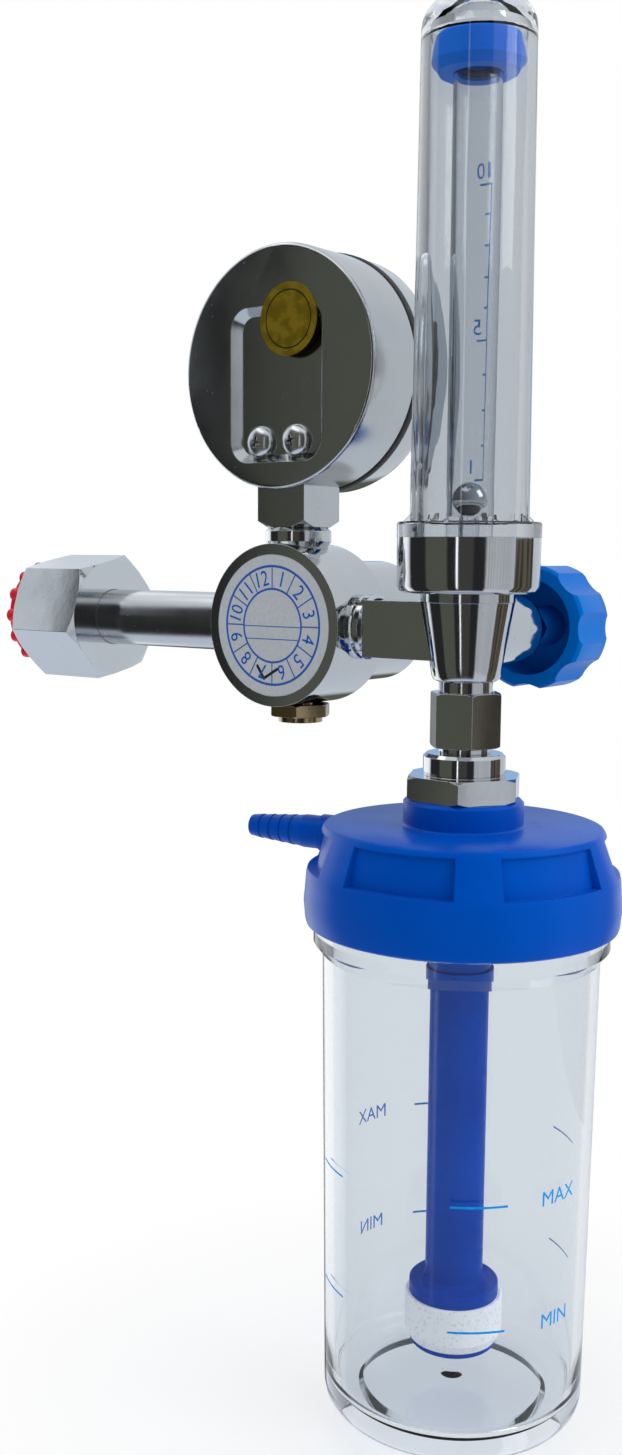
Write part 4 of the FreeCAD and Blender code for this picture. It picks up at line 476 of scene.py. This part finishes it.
def from_mark(angle, step):
    return abs((angle + step / 2).math("MODULO", step) - step / 2)


def dial_finish():
    finish = Finish("dial_paint")
    x, y, z = finish.axes()
    across = x - REGULATOR_X
    rise = z - GAUGE_Z
    radius = distance(across, rise)
    angle = across.math("ARCTAN2", rise) * (180.0 / math.pi) - DIAL_START
    seen = angle.band(DIAL_SWEEP / 2, DIAL_SWEEP / 2 + 0.6)
    arc = radius * (math.pi / 180.0)
    small = from_mark(angle, SHORT_STEP) * arc
    large = from_mark(angle, LONG_STEP) * arc
    ink = small.below(0.10 * MM) * radius.band(22.6 * MM, 0.9 * MM)
    ink = ink.most(large.below(0.25 * MM) * radius.band(21.8 * MM, 1.7 * MM))
    ink = ink.most(radius.band(DIAL_LINE, 0.12 * MM)) * seen
    fibre = finish.noise(400.0, 2.0)
    paint = finish.mix(finish.spread(fibre, 0.3, 0.7), (0.80, 0.80, 0.78), (0.86, 0.86, 0.84))
    colour = finish.mix(ink, paint, (0.01, 0.01, 0.012))
    return finish.done(finish.principled({"Base Color": colour, "Roughness": 0.45 - ink * 0.1}))


DIAL = dial_finish()

# %% [markdown]
# ## Plain inks
# Each printed number or line is a single ink, a little thick and not quite even. The gauge's
# pointer and its spacer ring have black paint that is made the same way.

# %% Ink and black paint
def ink(name, colour, rough=0.4):
    finish = Finish(name)
    uneven = finish.noise(1500.0, 3.0, 0.6)
    paler = tuple(min(1.0, channel * 1.4 + 0.01) for channel in colour)
    tone = finish.mix(finish.spread(uneven, 0.45, 0.75), colour, paler)
    return finish.done(finish.principled({
        "Base Color": tone, "Roughness": finish.spread(uneven, 0.3, 0.7, rough, rough + 0.15),
        "Specular Tint": (*paler, 1.0)}))


LABEL_INK = ink("label_print", (0.004, 0.080, 0.38))
BLUE_INK = ink("tube_print", (0.0, 0.26, 0.80))
CYAN_INK = ink("bottle_print", (0.0, 0.26, 0.68))
BLACK_PAINT = ink("black_paint", (0.010, 0.010, 0.011), 0.35)

# %% [markdown]
# ## Dressing the solid pieces
# A node keeps its own mesh. Its loose triangles are welded, flat areas stay flat and curved ones
# turn smooth, all by modifiers, so the engineering shape itself is never touched.

# %% Give each node its finish
DRESS = {
    "inlet_nut": NUT_CHROME, "inlet_stem": DULL_CHROME, "regulator_body": CHROME,
    "front_bonnet": CHROME, "gauge_case": SATIN, "gauge_socket": SATIN,
    "gauge_lock_ring": CHROME, "gauge_bezel": CHROME, "arm_lock_ring": CHROME,
    "flowmeter_body": CHROME, "gland_nut": CHROME, "outlet_nipple": CHROME,
    "union_nut": CHROME, "relief_body": BRONZE, "relief_cap": BRONZE,
    "gauge_screws": SCREW_STEEL, "adjusting_screw": STEEL, "spring_button": STEEL,
    "main_spring": STEEL, "diaphragm_plate": STEEL, "poppet_spring": STEEL,
    "relief_spring": STEEL, "movement_frame": BRASS, "pinion_arbor": STEEL,
    "sector_gear": BRASS, "tip_link": STEEL, "valve_spindle": STEEL, "needle": STEEL,
    "knob_screw": STEEL, "float_ball": BALL, "inlet_filter": BRONZE, "valve_seat": BRASS,
    "valve_poppet": BRASS, "relief_poppet": BRASS, "bourdon_tube": BRASS, "thread_plug": RED,
    "flow_knob": KNOB_BLUE, "knob_cap": KNOB_BLUE, "tube_stopper": STOPPER_BLUE,
    "bottle_lid": BLUE, "dip_tube": NAVY, "diffuser_plate": NAVY, "tube_cover": ACRYLIC,
    "metering_tube": TUBE_CLEAR, "bottle": BOTTLE_CLEAR, "gauge_glass": GLASS,
    "inlet_seal": RUBBER, "diaphragm": RUBBER, "gauge_gasket": RUBBER,
    "packing_ring": RUBBER, "stopper_o_ring": RUBBER, "flange_seal": RUBBER,
    "bottle_gasket": RUBBER, "diffuser_foam": FOAM, "date_label": DATE_LABEL,
    "warning_label": FILM, "gauge_dial": DIAL, "gauge_pointer": BLACK_PAINT,
    "dial_ring": BLACK_PAINT,
}
WELD_GAP = 0.01 * MM


def smoothed(piece, sharp=None):
    for face in piece.data.polygons:
        face.use_smooth = True
    if sharp:
        split = piece.modifiers.new("sharp_edges", "EDGE_SPLIT")
        split.split_angle = math.radians(sharp)


for name, finish in DRESS.items():
    piece = nodes[name]
    if not piece.material_slots:
        piece.data.materials.append(finish)
    for holder in piece.material_slots:
        holder.material = finish
    weld = piece.modifiers.new("weld", "WELD")
    weld.merge_threshold = WELD_GAP
    smoothed(piece, sharp=25)
print("dressed", len(DRESS), "of", len(nodes))

# %% [markdown]
# ## New pieces
# The numbers, the tube's scale and the bottle's marks are a real thin layer of ink, 0.03 mm thick,
# so they can be seen from both sides of a clear wall. Each mark is first made flat, with u across,
# v upward and w out of the surface, and cut into narrow strips so that it can bend. Then a place
# function lays it on its label or bends it round its tube.

# %% Turning a mesh in progress into a finished piece
INK_DEPTH = 0.03 * MM
INK_LIFT = 0.02 * MM
STRIP = 0.4 * MM


def as_object(name, bm):
    mesh = bpy.data.meshes.new(name)
    bm.to_mesh(mesh)
    bm.free()
    thing = bpy.data.objects.new(name, mesh)
    bpy.context.scene.collection.objects.link(thing)
    return thing


def finished(name, bm, material, body):
    bmesh.ops.recalc_face_normals(bm, faces=bm.faces)
    piece = as_object(name, bm)
    piece.data.materials.append(material)
    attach(piece, body)
    print("piece", name, "faces", len(piece.data.polygons))
    return piece


def laid(bm, mark, place):
    reach = max(abs(vert.co.x) for vert in mark.verts)
    cuts = int(reach / STRIP)
    for step in range(-cuts, cuts + 1):
        everything = mark.verts[:] + mark.edges[:] + mark.faces[:]
        bmesh.ops.bisect_plane(
            mark, geom=everything, dist=1e-7, plane_co=(step * STRIP, 0, 0), plane_no=(1, 0, 0))
    for vert in mark.verts:
        vert.co = place(*vert.co)
    sheet = bpy.data.meshes.new("mark")
    mark.to_mesh(sheet)
    mark.free()
    bm.from_mesh(sheet)
    bpy.data.meshes.remove(sheet)


# %% [markdown]
# A bar is a thin block, and a word is Blender's own text made a mesh, then scaled to its real
# height.

# %% Bars and words
def add_bar(bm, length, height, place):
    mark = bmesh.new()
    bmesh.ops.create_cube(mark, size=1.0)
    bmesh.ops.scale(mark, verts=mark.verts, vec=(length, height, INK_DEPTH))
    laid(bm, mark, place)


def add_word(bm, word, height, place, narrow=1.0):
    text = bpy.data.curves.new("word", "FONT")
    text.body = word
    text.resolution_u = 3
    text.extrude = 0.02
    holder = bpy.data.objects.new("word", text)
    bpy.context.scene.collection.objects.link(holder)
    bpy.context.view_layer.update()
    ready = holder.evaluated_get(bpy.context.evaluated_depsgraph_get())
    shape = bpy.data.meshes.new_from_object(ready)
    bpy.data.objects.remove(holder)
    mark = bmesh.new()
    mark.from_mesh(shape)
    bpy.data.meshes.remove(shape)
    bmesh.ops.remove_doubles(mark, verts=mark.verts, dist=1e-5)
    low = [min(vert.co[k] for vert in mark.verts) for k in range(3)]
    high = [max(vert.co[k] for vert in mark.verts) for k in range(3)]
    middle = [-(a + b) / 2 for a, b in zip(low, high)]
    bmesh.ops.translate(mark, verts=mark.verts, vec=middle)
    grow = height / (high[1] - low[1])
    thin = INK_DEPTH / (high[2] - low[2])
    bmesh.ops.scale(mark, verts=mark.verts, vec=(grow * narrow, grow, thin))
    laid(bm, mark, place)


# %% [markdown]
# ## Month numbers
# Twelve numbers stand in the label's ring with their tops outward, clockwise as the reader sees
# them.

# %% Month numbers
MONTH_HEIGHT = 3.9 * MM


def on_label(angle, radius):
    outward = Vector((-math.sin(angle), 0.0, math.cos(angle)))
    across = Vector((-math.cos(angle), 0.0, -math.sin(angle)))
    centre = Vector((REGULATOR_X, LABEL_Y + INK_LIFT, 0.0)) + outward * radius

    def place(u, v, w):
        return centre + across * u + outward * v + Vector((0.0, w, 0.0))
    return place


bm = bmesh.new()
for month in range(1, 13):
    spot = on_label(math.radians(30 * (month - 0.5)), (RING_OUT + RING_IN) / 2)
    add_word(bm, str(month), MONTH_HEIGHT, spot, narrow=0.85)
finished("month_numbers", bm, LABEL_INK, "meter")

# %% [markdown]
# ## Scale on the metering tube
# The scale is printed on the far side of the inner tube, so from behind it reads in mirror
# writing. Litres per minute run from 1 to 10: a vertical line, ten ticks, and numbers at 10, 5
# and 1.

# %% Tube scale
TUBE_RADIUS = 5.6 * MM
SCALE_EDGE = math.radians(255.0)
SCALE_HEIGHTS = [35.8, 43.8, 52.0, 60.2, 68.1, 75.5, 82.4, 89.6, 96.6, 103.3]
SCALE_NUMBERS = {1: (300.0, 3.2), 5: (290.0, 3.6), 10: (279.0, 3.6)}
EDGE_LINE = 0.42 * MM
TICK_LINE = 0.46 * MM
TICK_LONG, TICK_SHORT = 3.4 * MM, 1.5 * MM
NUMBER_RISE = 3.1 * MM


def round_tube(azimuth, height):
    def place(u, v, w):
        angle = azimuth + u / TUBE_RADIUS
        reach = TUBE_RADIUS + INK_LIFT + w
        return Vector((METER_X + reach * math.cos(angle), reach * math.sin(angle), height + v))
    return place


bm = bmesh.new()
low, high = SCALE_HEIGHTS[0] * MM, SCALE_HEIGHTS[-1] * MM
add_bar(bm, EDGE_LINE, high - low, round_tube(SCALE_EDGE, (low + high) / 2))
for litres, height in enumerate(SCALE_HEIGHTS, 1):
    length = TICK_LONG if litres in SCALE_NUMBERS else TICK_SHORT
    middle = SCALE_EDGE + length / 2 / TUBE_RADIUS
    add_bar(bm, length, TICK_LINE, round_tube(middle, height * MM))
    if litres in SCALE_NUMBERS:
        azimuth, tall = SCALE_NUMBERS[litres]
        spot = round_tube(math.radians(azimuth), height * MM + NUMBER_RISE)
        add_word(bm, str(litres), tall * MM, spot)
finished("tube_scale", bm, BLUE_INK, "meter")

# %% [markdown]
# ## Level marks on the bottle
# The bottle has two opposite prints. Each has an upper and a lower water line with its word, and
# a shorter line at the same two heights on the wall beside it. The wall tapers, so the place
# function works out the wall's radius at each height.

# %% Bottle prints
WALL_TOP = (-79.0 * MM, 34.1 * MM)
WALL_FOOT = (-191.7 * MM, 32.8 * MM)
WATER_LINES = {"MAX": -130.7 * MM, "MIN": -161.7 * MM}
LINES_BESIDE = ((131.0, 13.6 * MM, 0.55 * MM), (57.0, 12.0 * MM, 0.45 * MM))
WORD_AZIMUTH = 168.0
WORD_HEIGHT = 3.6 * MM


def round_bottle(azimuth, height):
    def place(u, v, w):
        share = (height + v - WALL_TOP[0]) / (WALL_FOOT[0] - WALL_TOP[0])
        wall = WALL_TOP[1] + share * (WALL_FOOT[1] - WALL_TOP[1])
        angle = azimuth + u / wall
        reach = wall + INK_LIFT + w
        return Vector((METER_X + reach * math.cos(angle), reach * math.sin(angle), height + v))
    return place


bm = bmesh.new()
for word, height in WATER_LINES.items():
    for start in (0.0, 180.0):
        for azimuth, length, line in LINES_BESIDE:
            add_bar(bm, length, line, round_bottle(math.radians(start + azimuth), height))
        spot = round_bottle(math.radians(start + WORD_AZIMUTH), height)
        add_word(bm, word, WORD_HEIGHT, spot)
finished("bottle_level_marks", bm, CYAN_INK, "bottle_body")

# %% [markdown]
# ## Numbers on the dial
# The dial itself shows on the other side of the gauge. Its numbers go from 0 to 25, one at each
# long tick.

# %% Dial numbers
NUMBER_RING = 17.0 * MM
NUMBER_HEIGHT = 3.4 * MM


def on_dial(angle, radius):
    centre = Vector((REGULATOR_X, DIAL_Y - INK_LIFT, GAUGE_Z))
    centre += Vector((radius * math.sin(angle), 0.0, radius * math.cos(angle)))

    def place(u, v, w):
        return centre + Vector((u, -w, v))
    return place


bm = bmesh.new()
for step in range(6):
    angle = math.radians(DIAL_START + LONG_STEP * step)
    add_word(bm, str(5 * step), NUMBER_HEIGHT, on_dial(angle, NUMBER_RING))
finished("dial_numbers", bm, BLACK_PAINT, "meter")

# %% [markdown]
# ## Turned shapes
# A turned piece starts as an outline that is spun round an axis. A Boolean then cuts one closed
# shape with another, or keeps what both have in common, and the result becomes the piece's own
# mesh.

# %% Spinning and combining
ORIGIN = (0.0, 0.0, 0.0)


def spun(points, centre, axis, steps, closed=True):
    bm = bmesh.new()
    ring = [bm.verts.new(point) for point in points]
    following = ring[1:] + ring[:1] if closed else ring[1:]
    rim = [bm.edges.new(pair) for pair in zip(ring, following)]
    bmesh.ops.spin(
        bm, geom=ring + rim, cent=centre, axis=axis, angle=2 * math.pi, steps=steps, use_merge=True)
    bmesh.ops.remove_doubles(bm, verts=bm.verts, dist=1e-6)
    bmesh.ops.recalc_face_normals(bm, faces=bm.faces)
    return bm


def combined(first, second, operation):
    cut = first.modifiers.new("cut", "BOOLEAN")
    cut.operation = operation
    cut.solver = "EXACT"
    cut.use_self = True
    cut.object = second
    bpy.context.view_layer.update()
    ready = first.evaluated_get(bpy.context.evaluated_depsgraph_get())
    shape = bpy.data.meshes.new_from_object(ready)
    bpy.data.objects.remove(first)
    bpy.data.objects.remove(second)
    return shape


# %% [markdown]
# ## Cross-head screws
# Two domed screws hold the gauge's works. The head is spun from its outline, with a quarter
# ellipse for the dome, and the cross recess is cut with two blades that taper towards the bottom.

# %% Screws in the gauge's back
SCREW_Z = GAUGE_Z - 18.1 * MM
SCREW_PLACES = ((-5.2, 20.0), (6.2, -12.0))
POCKET_Y = 7.3 * MM
SHANK = 1.9
HEAD_RADIUS, HEAD_EDGE, HEAD_DOME = 4.2, 0.5, 2.6
HEAD_OUTLINE = [(0.0, -1.0), (SHANK, -1.0), (SHANK, 0.02), (HEAD_RADIUS - 0.1, 0.02),
                (HEAD_RADIUS, 0.1)]
for k in range(11):
    lean = math.radians(9 * k)
    HEAD_OUTLINE.append((HEAD_RADIUS * math.cos(lean), HEAD_EDGE + HEAD_DOME * math.sin(lean)))
BLADE_SIZE = (3.9 * MM, 0.85 * MM, 2.8 * MM)
BLADE_RISE = 2.8 * MM
BLADE_TAPER = (0.45, 0.7, 1.0)


def cross_blades():
    bm = bmesh.new()
    for quarter in range(2):
        blade = bmesh.ops.create_cube(bm, size=1.0)["verts"]
        bmesh.ops.scale(bm, verts=blade, vec=BLADE_SIZE)
        bmesh.ops.translate(bm, verts=blade, vec=(0, 0, BLADE_RISE))
        deep = [vert for vert in blade if vert.co.z < BLADE_RISE]
        bmesh.ops.scale(bm, verts=deep, vec=BLADE_TAPER)
        turned = Matrix.Rotation(math.pi / 2 * quarter, 3, "Z")
        bmesh.ops.rotate(bm, verts=blade, cent=ORIGIN, matrix=turned)
    return bm


head_points = [(radius * MM, 0.0, rise * MM) for radius, rise in HEAD_OUTLINE]
head = as_object("head_blank", spun(head_points, ORIGIN, (0, 0, 1), 48, closed=False))
shape = combined(head, as_object("blades", cross_blades()), "DIFFERENCE")
facing_back = Matrix.Rotation(math.radians(-90), 4, "X")
bm = bmesh.new()
for x_place, twist in SCREW_PLACES:
    one = shape.copy()
    turned = facing_back @ Matrix.Rotation(math.radians(twist), 4, "Z")
    one.transform(Matrix.Translation((REGULATOR_X + x_place * MM, POCKET_Y, SCREW_Z)) @ turned)
    bm.from_mesh(one)
screws = finished("cross_head_screws", bm, SCREW_STEEL, "meter")
smoothed(screws, sharp=32)
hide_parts("gauge_screws")

# %% [markdown]
# ## Painted shadow at the gauge's joint
# Between the case and the bezel a black ring with the rubber finish laps over the case's edge. It
# is painted shadow: it stands for the shade in the gap there. It is a thin ring, spun from a small
# outline with a rounded outer edge, and it sits a hair above the steel.

# %% Joint shadow band
SHADOW_BAND_WIDTH = 2.3
CASE_RADIUS = 30.0 * MM
SHADOW_BAND_GAP = 0.05 * MM
SHADOW_BAND_OUTLINE = ((0.0, -0.2), (0.0, 0.25), (0.3, 0.36), (SHADOW_BAND_WIDTH - 0.5, 0.36),
                (SHADOW_BAND_WIDTH - 0.1, 0.22), (SHADOW_BAND_WIDTH, 0.02), (SHADOW_BAND_WIDTH, -0.2))

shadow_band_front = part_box("gauge_gasket")[0][1] + SHADOW_BAND_GAP
shadow_band_points = [(REGULATOR_X, shadow_band_front + along * MM, GAUGE_Z + CASE_RADIUS + proud * MM)
               for along, proud in SHADOW_BAND_OUTLINE]
bm = spun(shadow_band_points, (REGULATOR_X, 0, GAUGE_Z), (0, 1, 0), 96)
# This black ring is painted shadow for the gap between the case and the bezel, not a real part.
band = finished("gauge_joint_shadow_band", bm, RUBBER, "meter")
smoothed(band)

# %% [markdown]
# ## Inlet nut
# A hexagon nut is turned from hexagon bar: the lathe bevels the corners at both ends, which
# leaves a curved edge on every flat, and cuts the thread in the bore. So the piece is a hexagon
# bar met with a turned blank. The blank's outline runs along the outside, round the mouth,
# through the thread and out of the back wall.

# %% Inlet nut with its thread
NUT_REAR, NUT_MOUTH = (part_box("inlet_nut")[k][0] / MM for k in range(2))
ACROSS_FLATS = 32.0
NUT_CORNER = ACROSS_FLATS / math.sqrt(3)
NUT_TURN = math.radians(18.0)
NUT_BEVEL, NUT_BEVEL_RISE = 2.3, 1.5
TURNED_RADIUS = NUT_CORNER + 0.05
STEM_HOLE = 7.9
MOUTH_RIM, MOUTH_BORE = 12.1, 11.72
CHAMBER_END = -14.9
THREAD_ROOT, THREAD_CREST, THREAD_PITCH, THREAD_END = 11.1, 10.3, 1.5, -10.5
CREST_START, CREST_END = 0.6, 0.9
BAR_LENGTH = 40.0 * MM


def nut_outline():
    outline = [(NUT_REAR, STEM_HOLE), (NUT_REAR, NUT_CORNER - NUT_BEVEL),
               (NUT_REAR + NUT_BEVEL_RISE, TURNED_RADIUS),
               (NUT_MOUTH - NUT_BEVEL_RISE, TURNED_RADIUS),
               (NUT_MOUTH, NUT_CORNER - NUT_BEVEL), (NUT_MOUTH, MOUTH_RIM),
               (NUT_MOUTH - 0.4, MOUTH_BORE), (0.0, MOUTH_BORE), (0.0, THREAD_ROOT)]
    for turn in range(int(-THREAD_END / THREAD_PITCH)):
        start = -turn * THREAD_PITCH
        outline += [(start - CREST_START, THREAD_CREST), (start - CREST_END, THREAD_CREST),
                    (start - THREAD_PITCH, THREAD_ROOT)]
    return outline + [(CHAMBER_END, THREAD_ROOT), (CHAMBER_END, STEM_HOLE)]


def hexagon_bar():
    bm = bmesh.new()
    reach = NUT_CORNER * MM
    bmesh.ops.create_cone(
        bm, cap_ends=True, segments=6, radius1=reach, radius2=reach, depth=BAR_LENGTH)
    turned = Matrix.Rotation(math.pi / 2, 3, "Y")
    bmesh.ops.rotate(bm, verts=bm.verts, cent=ORIGIN, matrix=turned)
    return bm


def corner_angle(bm):
    point = bm.verts[:][0].co
    return math.atan2(-point.y, point.z)


bar = hexagon_bar()
spare = corner_angle(bar) - NUT_TURN
bmesh.ops.rotate(bar, verts=bar.verts, cent=ORIGIN, matrix=Matrix.Rotation(-spare, 3, "X"))
print("corner at", round(math.degrees(corner_angle(bar)), 1))
nut_points = [(x * MM, 0.0, radius * MM) for x, radius in nut_outline()]
blank = as_object("nut_blank", spun(nut_points, ORIGIN, (1, 0, 0), 96))
bm = bmesh.new()
bm.from_mesh(combined(blank, as_object("nut_bar", bar), "INTERSECT"))
nut = finished("threaded_inlet_nut", bm, NUT_CHROME, "nut")
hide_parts("inlet_nut")
smoothed(nut, sharp=22)

# %% [markdown]
# ## Studio
# Chrome shows nothing but its surroundings, so the room matters as much as the metal. Light on
# dull surfaces comes from a sky that is brighter on one side, which models round forms softly.
# The floor lies just below the lowest place of the bottle, which moves down as it is unscrewed.
# It keeps the object's shadow under the bottle, and further away it turns plain white.

# %% Floor
BOTTLE_TRAVEL = 8.0 * MM
FLOOR_GAP = 0.6 * MM
SHADOW_START, SHADOW_END = 0.03, 0.15
WHITE = (1.0, 1.0, 1.0)

bm = bmesh.new()
bmesh.ops.create_grid(bm, x_segments=1, y_segments=1, size=4.0)
floor_z = BOTTLE_FOOT_Z - BOTTLE_TRAVEL - FLOOR_GAP
bmesh.ops.translate(bm, verts=bm.verts, vec=(METER_X, 0.0, floor_z))
floor = as_object("floor", bm)
finish = Finish("pale_floor")
x, y, z = finish.axes()
away = distance(x - METER_X, y)
speck = finish.mix(finish.noise(3.0, 2.0), (0.92, 0.92, 0.92), (0.94, 0.94, 0.94))
matt = finish.principled({"Base Color": speck, "Roughness": 0.9})
whiter = finish.spread(away, SHADOW_START, SHADOW_END, 0.55, 1.0)
floor.data.materials.append(finish.done(finish.blend(whiter, matt, finish.glow(WHITE))))
floor.visible_glossy = False

# %% [markdown]
# The sky is plain white to the camera, and through clear walls that are looked through directly.
# Everything else is lit by a grey room that gets brighter towards one side.

# %% Sky
SKY_LEAN = (-0.77, -0.50, 0.40)
DIM_SIDE, BRIGHT_SIDE = (0.12, 0.13, 0.15), (0.80, 0.82, 0.84)

sky = Finish("pale_room", world=True)
bpy.context.scene.world = sky.owner
x, y, z = sky.axes(sky.place("Generated"))
lean = x * SKY_LEAN[0] + y * SKY_LEAN[1] + z * SKY_LEAN[2]
room = sky.mix(sky.spread(lean, -1.0, 1.0), DIM_SIDE, BRIGHT_SIDE)
rays = sky.node("ShaderNodeLightPath").socket.node.outputs
straight = Signal(sky.tree, rays["Glossy Depth"]).below(0.5)
through = Signal(sky.tree, rays["Is Transmission Ray"]) * straight
backdrop = Signal(sky.tree, rays["Is Camera Ray"]).most(through)
seen = sky.mix(backdrop, room, WHITE)
sky.done(sky.node("ShaderNodeBackground", inputs={"Color": seen, "Strength": 1.0}))

# %% [markdown]
# ## Reflection tent
# A photographer hangs cards round shiny metal and shapes each reflection. Here the cards are
# painted on the inside of one large ball that only reflections see: a pale room, a dark side
# towards the camera's left, and a few bright windows. The paint is placed by compass direction
# and by height above the horizon.

# %% Tent
TENT_CENTRE = Vector((-0.11, 0.0, 0.0))
TENT_RADIUS = 1.6
PALE = (0.72, 0.78, 0.85)
UPPER = (0.86, 0.91, 0.97)
LOWER = (0.72, 0.80, 0.96)
HORIZON = (0.36, 0.56, 0.86)
OLIVE = (0.115, 0.120, 0.100)
BLACK = (0.028, 0.029, 0.030)
DARK_GREY = (0.07, 0.07, 0.065)
BROWN_GREY = (0.20, 0.19, 0.17)
BRIGHT = (1.9, 1.95, 2.0)


def only_reflected(card, finish, tone):
    card.data.materials.append(finish.done(finish.glow(tone)))
    card.visible_camera = False
    card.visible_diffuse = False
    card.visible_transmission = False
    card.visible_shadow = False


def patch(west, east, side_soft, low, high, height_soft):
    sides = paint.between(compass, west, east, side_soft)
    return sides * paint.between(height, low, high, height_soft)


bm = bmesh.new()
bmesh.ops.create_icosphere(bm, subdivisions=4, radius=TENT_RADIUS)
bmesh.ops.translate(bm, verts=bm.verts, vec=TENT_CENTRE)
tent = as_object("reflection_tent", bm)
paint = Finish("tent_paint")
x, y, z = paint.axes()
compass = (y - TENT_CENTRE.y).math("ARCTAN2", x - TENT_CENTRE.x) * (180.0 / math.pi)
height = (z / TENT_RADIUS).math("ARCSINE") * (180.0 / math.pi)

# %% [markdown]
# The paint goes on in layers: the pale room, the dark side with a slanting pale gap in it, two
# patches near the horizon, faint dark streaks, and last the bright line and the two windows.

# %% Tent paint
tone = paint.mix(paint.spread(height, 30.0, 60.0), PALE, UPPER)
tone = paint.mix(paint.spread(height, -30.0, -50.0), tone, LOWER)
dark = paint.mix(paint.between(compass, 50.0, 88.0, 1.5), BLACK, OLIVE)
dark = paint.mix(paint.between(compass, 107.0, 130.0, 1.5), dark, DARK_GREY)
gap_edge = 36.55 - (height - 20.0) * 0.3
gap = paint.spread(gap_edge - compass, -0.5, 0.5) * paint.between(height, 9.0, 50.0, 2.0)
side_wall = patch(14.0, 150.0, 2.5, -42.0, 45.0, 4.0)
tone = paint.mix(side_wall * (1.0 - gap), tone, dark)
tone = paint.mix(patch(-66.0, -38.0, 3.0, -40.0, 1.0, 3.0), tone, OLIVE)
tone = paint.mix(patch(-85.0, -25.0, 5.0, 3.0, 12.5, 1.5), tone, HORIZON)
stripes = paint.node("ShaderNodeCombineXYZ", inputs={"X": compass * 0.45})
grain = paint.noise(1.0, 2.0, 0.6, stripes)
beside = patch(153.0, 182.0, 1.0, -30.0, 12.0, 3.0)
beside = beside.most(patch(-182.0, -150.0, 1.0, -30.0, 12.0, 3.0))
tone = paint.mix(paint.spread(grain, 0.44, 0.60) * beside * 0.65, tone, BROWN_GREY)
line = patch(102.5, 105.5, 0.8, -30.0, 30.0, 8.0)
top_window = patch(-20.0, 95.0, 6.0, 48.0, 60.0, 2.0)
side_window = patch(-34.0, 9.0, 4.0, -34.0, 40.0, 5.0)
tone = paint.mix(line.most(top_window).most(side_window * 0.55), tone, BRIGHT)
only_reflected(tent, paint, tone)

# %% [markdown]
# A small dark card stands close beside the meter's cup. Only the cup and the fittings below it
# are near enough to reflect it, so their right sides get the deep brown band that chrome shows
# beside a dark bench.

# %% Dark card
CARD_PLACE = (-0.278, -0.075, -0.062)
CARD_SIZE = (0.180, 0.170)

bm = bmesh.new()
bmesh.ops.create_grid(bm, x_segments=1, y_segments=1, size=0.5)
bmesh.ops.scale(bm, verts=bm.verts, vec=(*CARD_SIZE, 1.0))
upright = Matrix.Rotation(math.pi / 2, 3, "X")
bmesh.ops.rotate(bm, verts=bm.verts, cent=ORIGIN, matrix=upright)
bmesh.ops.translate(bm, verts=bm.verts, vec=CARD_PLACE)
card = as_object("dark_card", bm)
bench = Finish("dark_bench")
streak = bench.noise(40.0, 3.0, 0.6, bench.drawn_out(0.1))
tone = bench.mix(bench.spread(streak, 0.45, 0.55), (0.055, 0.050, 0.040), (0.16, 0.14, 0.11))
only_reflected(card, bench, tone)

# %% [markdown]
# ## Lamps
# A wide soft key from the camera's right and a weaker one from above model the plastic and draw
# the shadow.

# %% Lamps
LAMP_AIM = Vector((METER_X + 0.03, 0.0, -0.03))
LAMP_COLOUR = (1.0, 0.99, 0.98)


def soft_box(name, spot, size, power):
    lamp = bpy.data.lights.new(name, "AREA")
    lamp.shape = "RECTANGLE"
    lamp.size, lamp.size_y = size
    lamp.energy = power
    lamp.color = LAMP_COLOUR
    piece = bpy.data.objects.new(name, lamp)
    aim = (LAMP_AIM - Vector(spot)).to_track_quat("-Z", "Y").to_matrix().to_4x4()
    piece.matrix_world = Matrix.Translation(spot) @ aim
    piece.visible_glossy = False
    bpy.context.scene.collection.objects.link(piece)


soft_box("key_box", (-1.15, -0.30, 0.65), (0.6, 0.8), 6.5)
soft_box("top_box", (0.05, 0.35, 1.15), (0.8, 0.8), 5.0)

# %% [markdown]
# ## Last steps
# The standard view keeps colours as they are.

bpy.context.scene.view_settings.view_transform = "Standard"
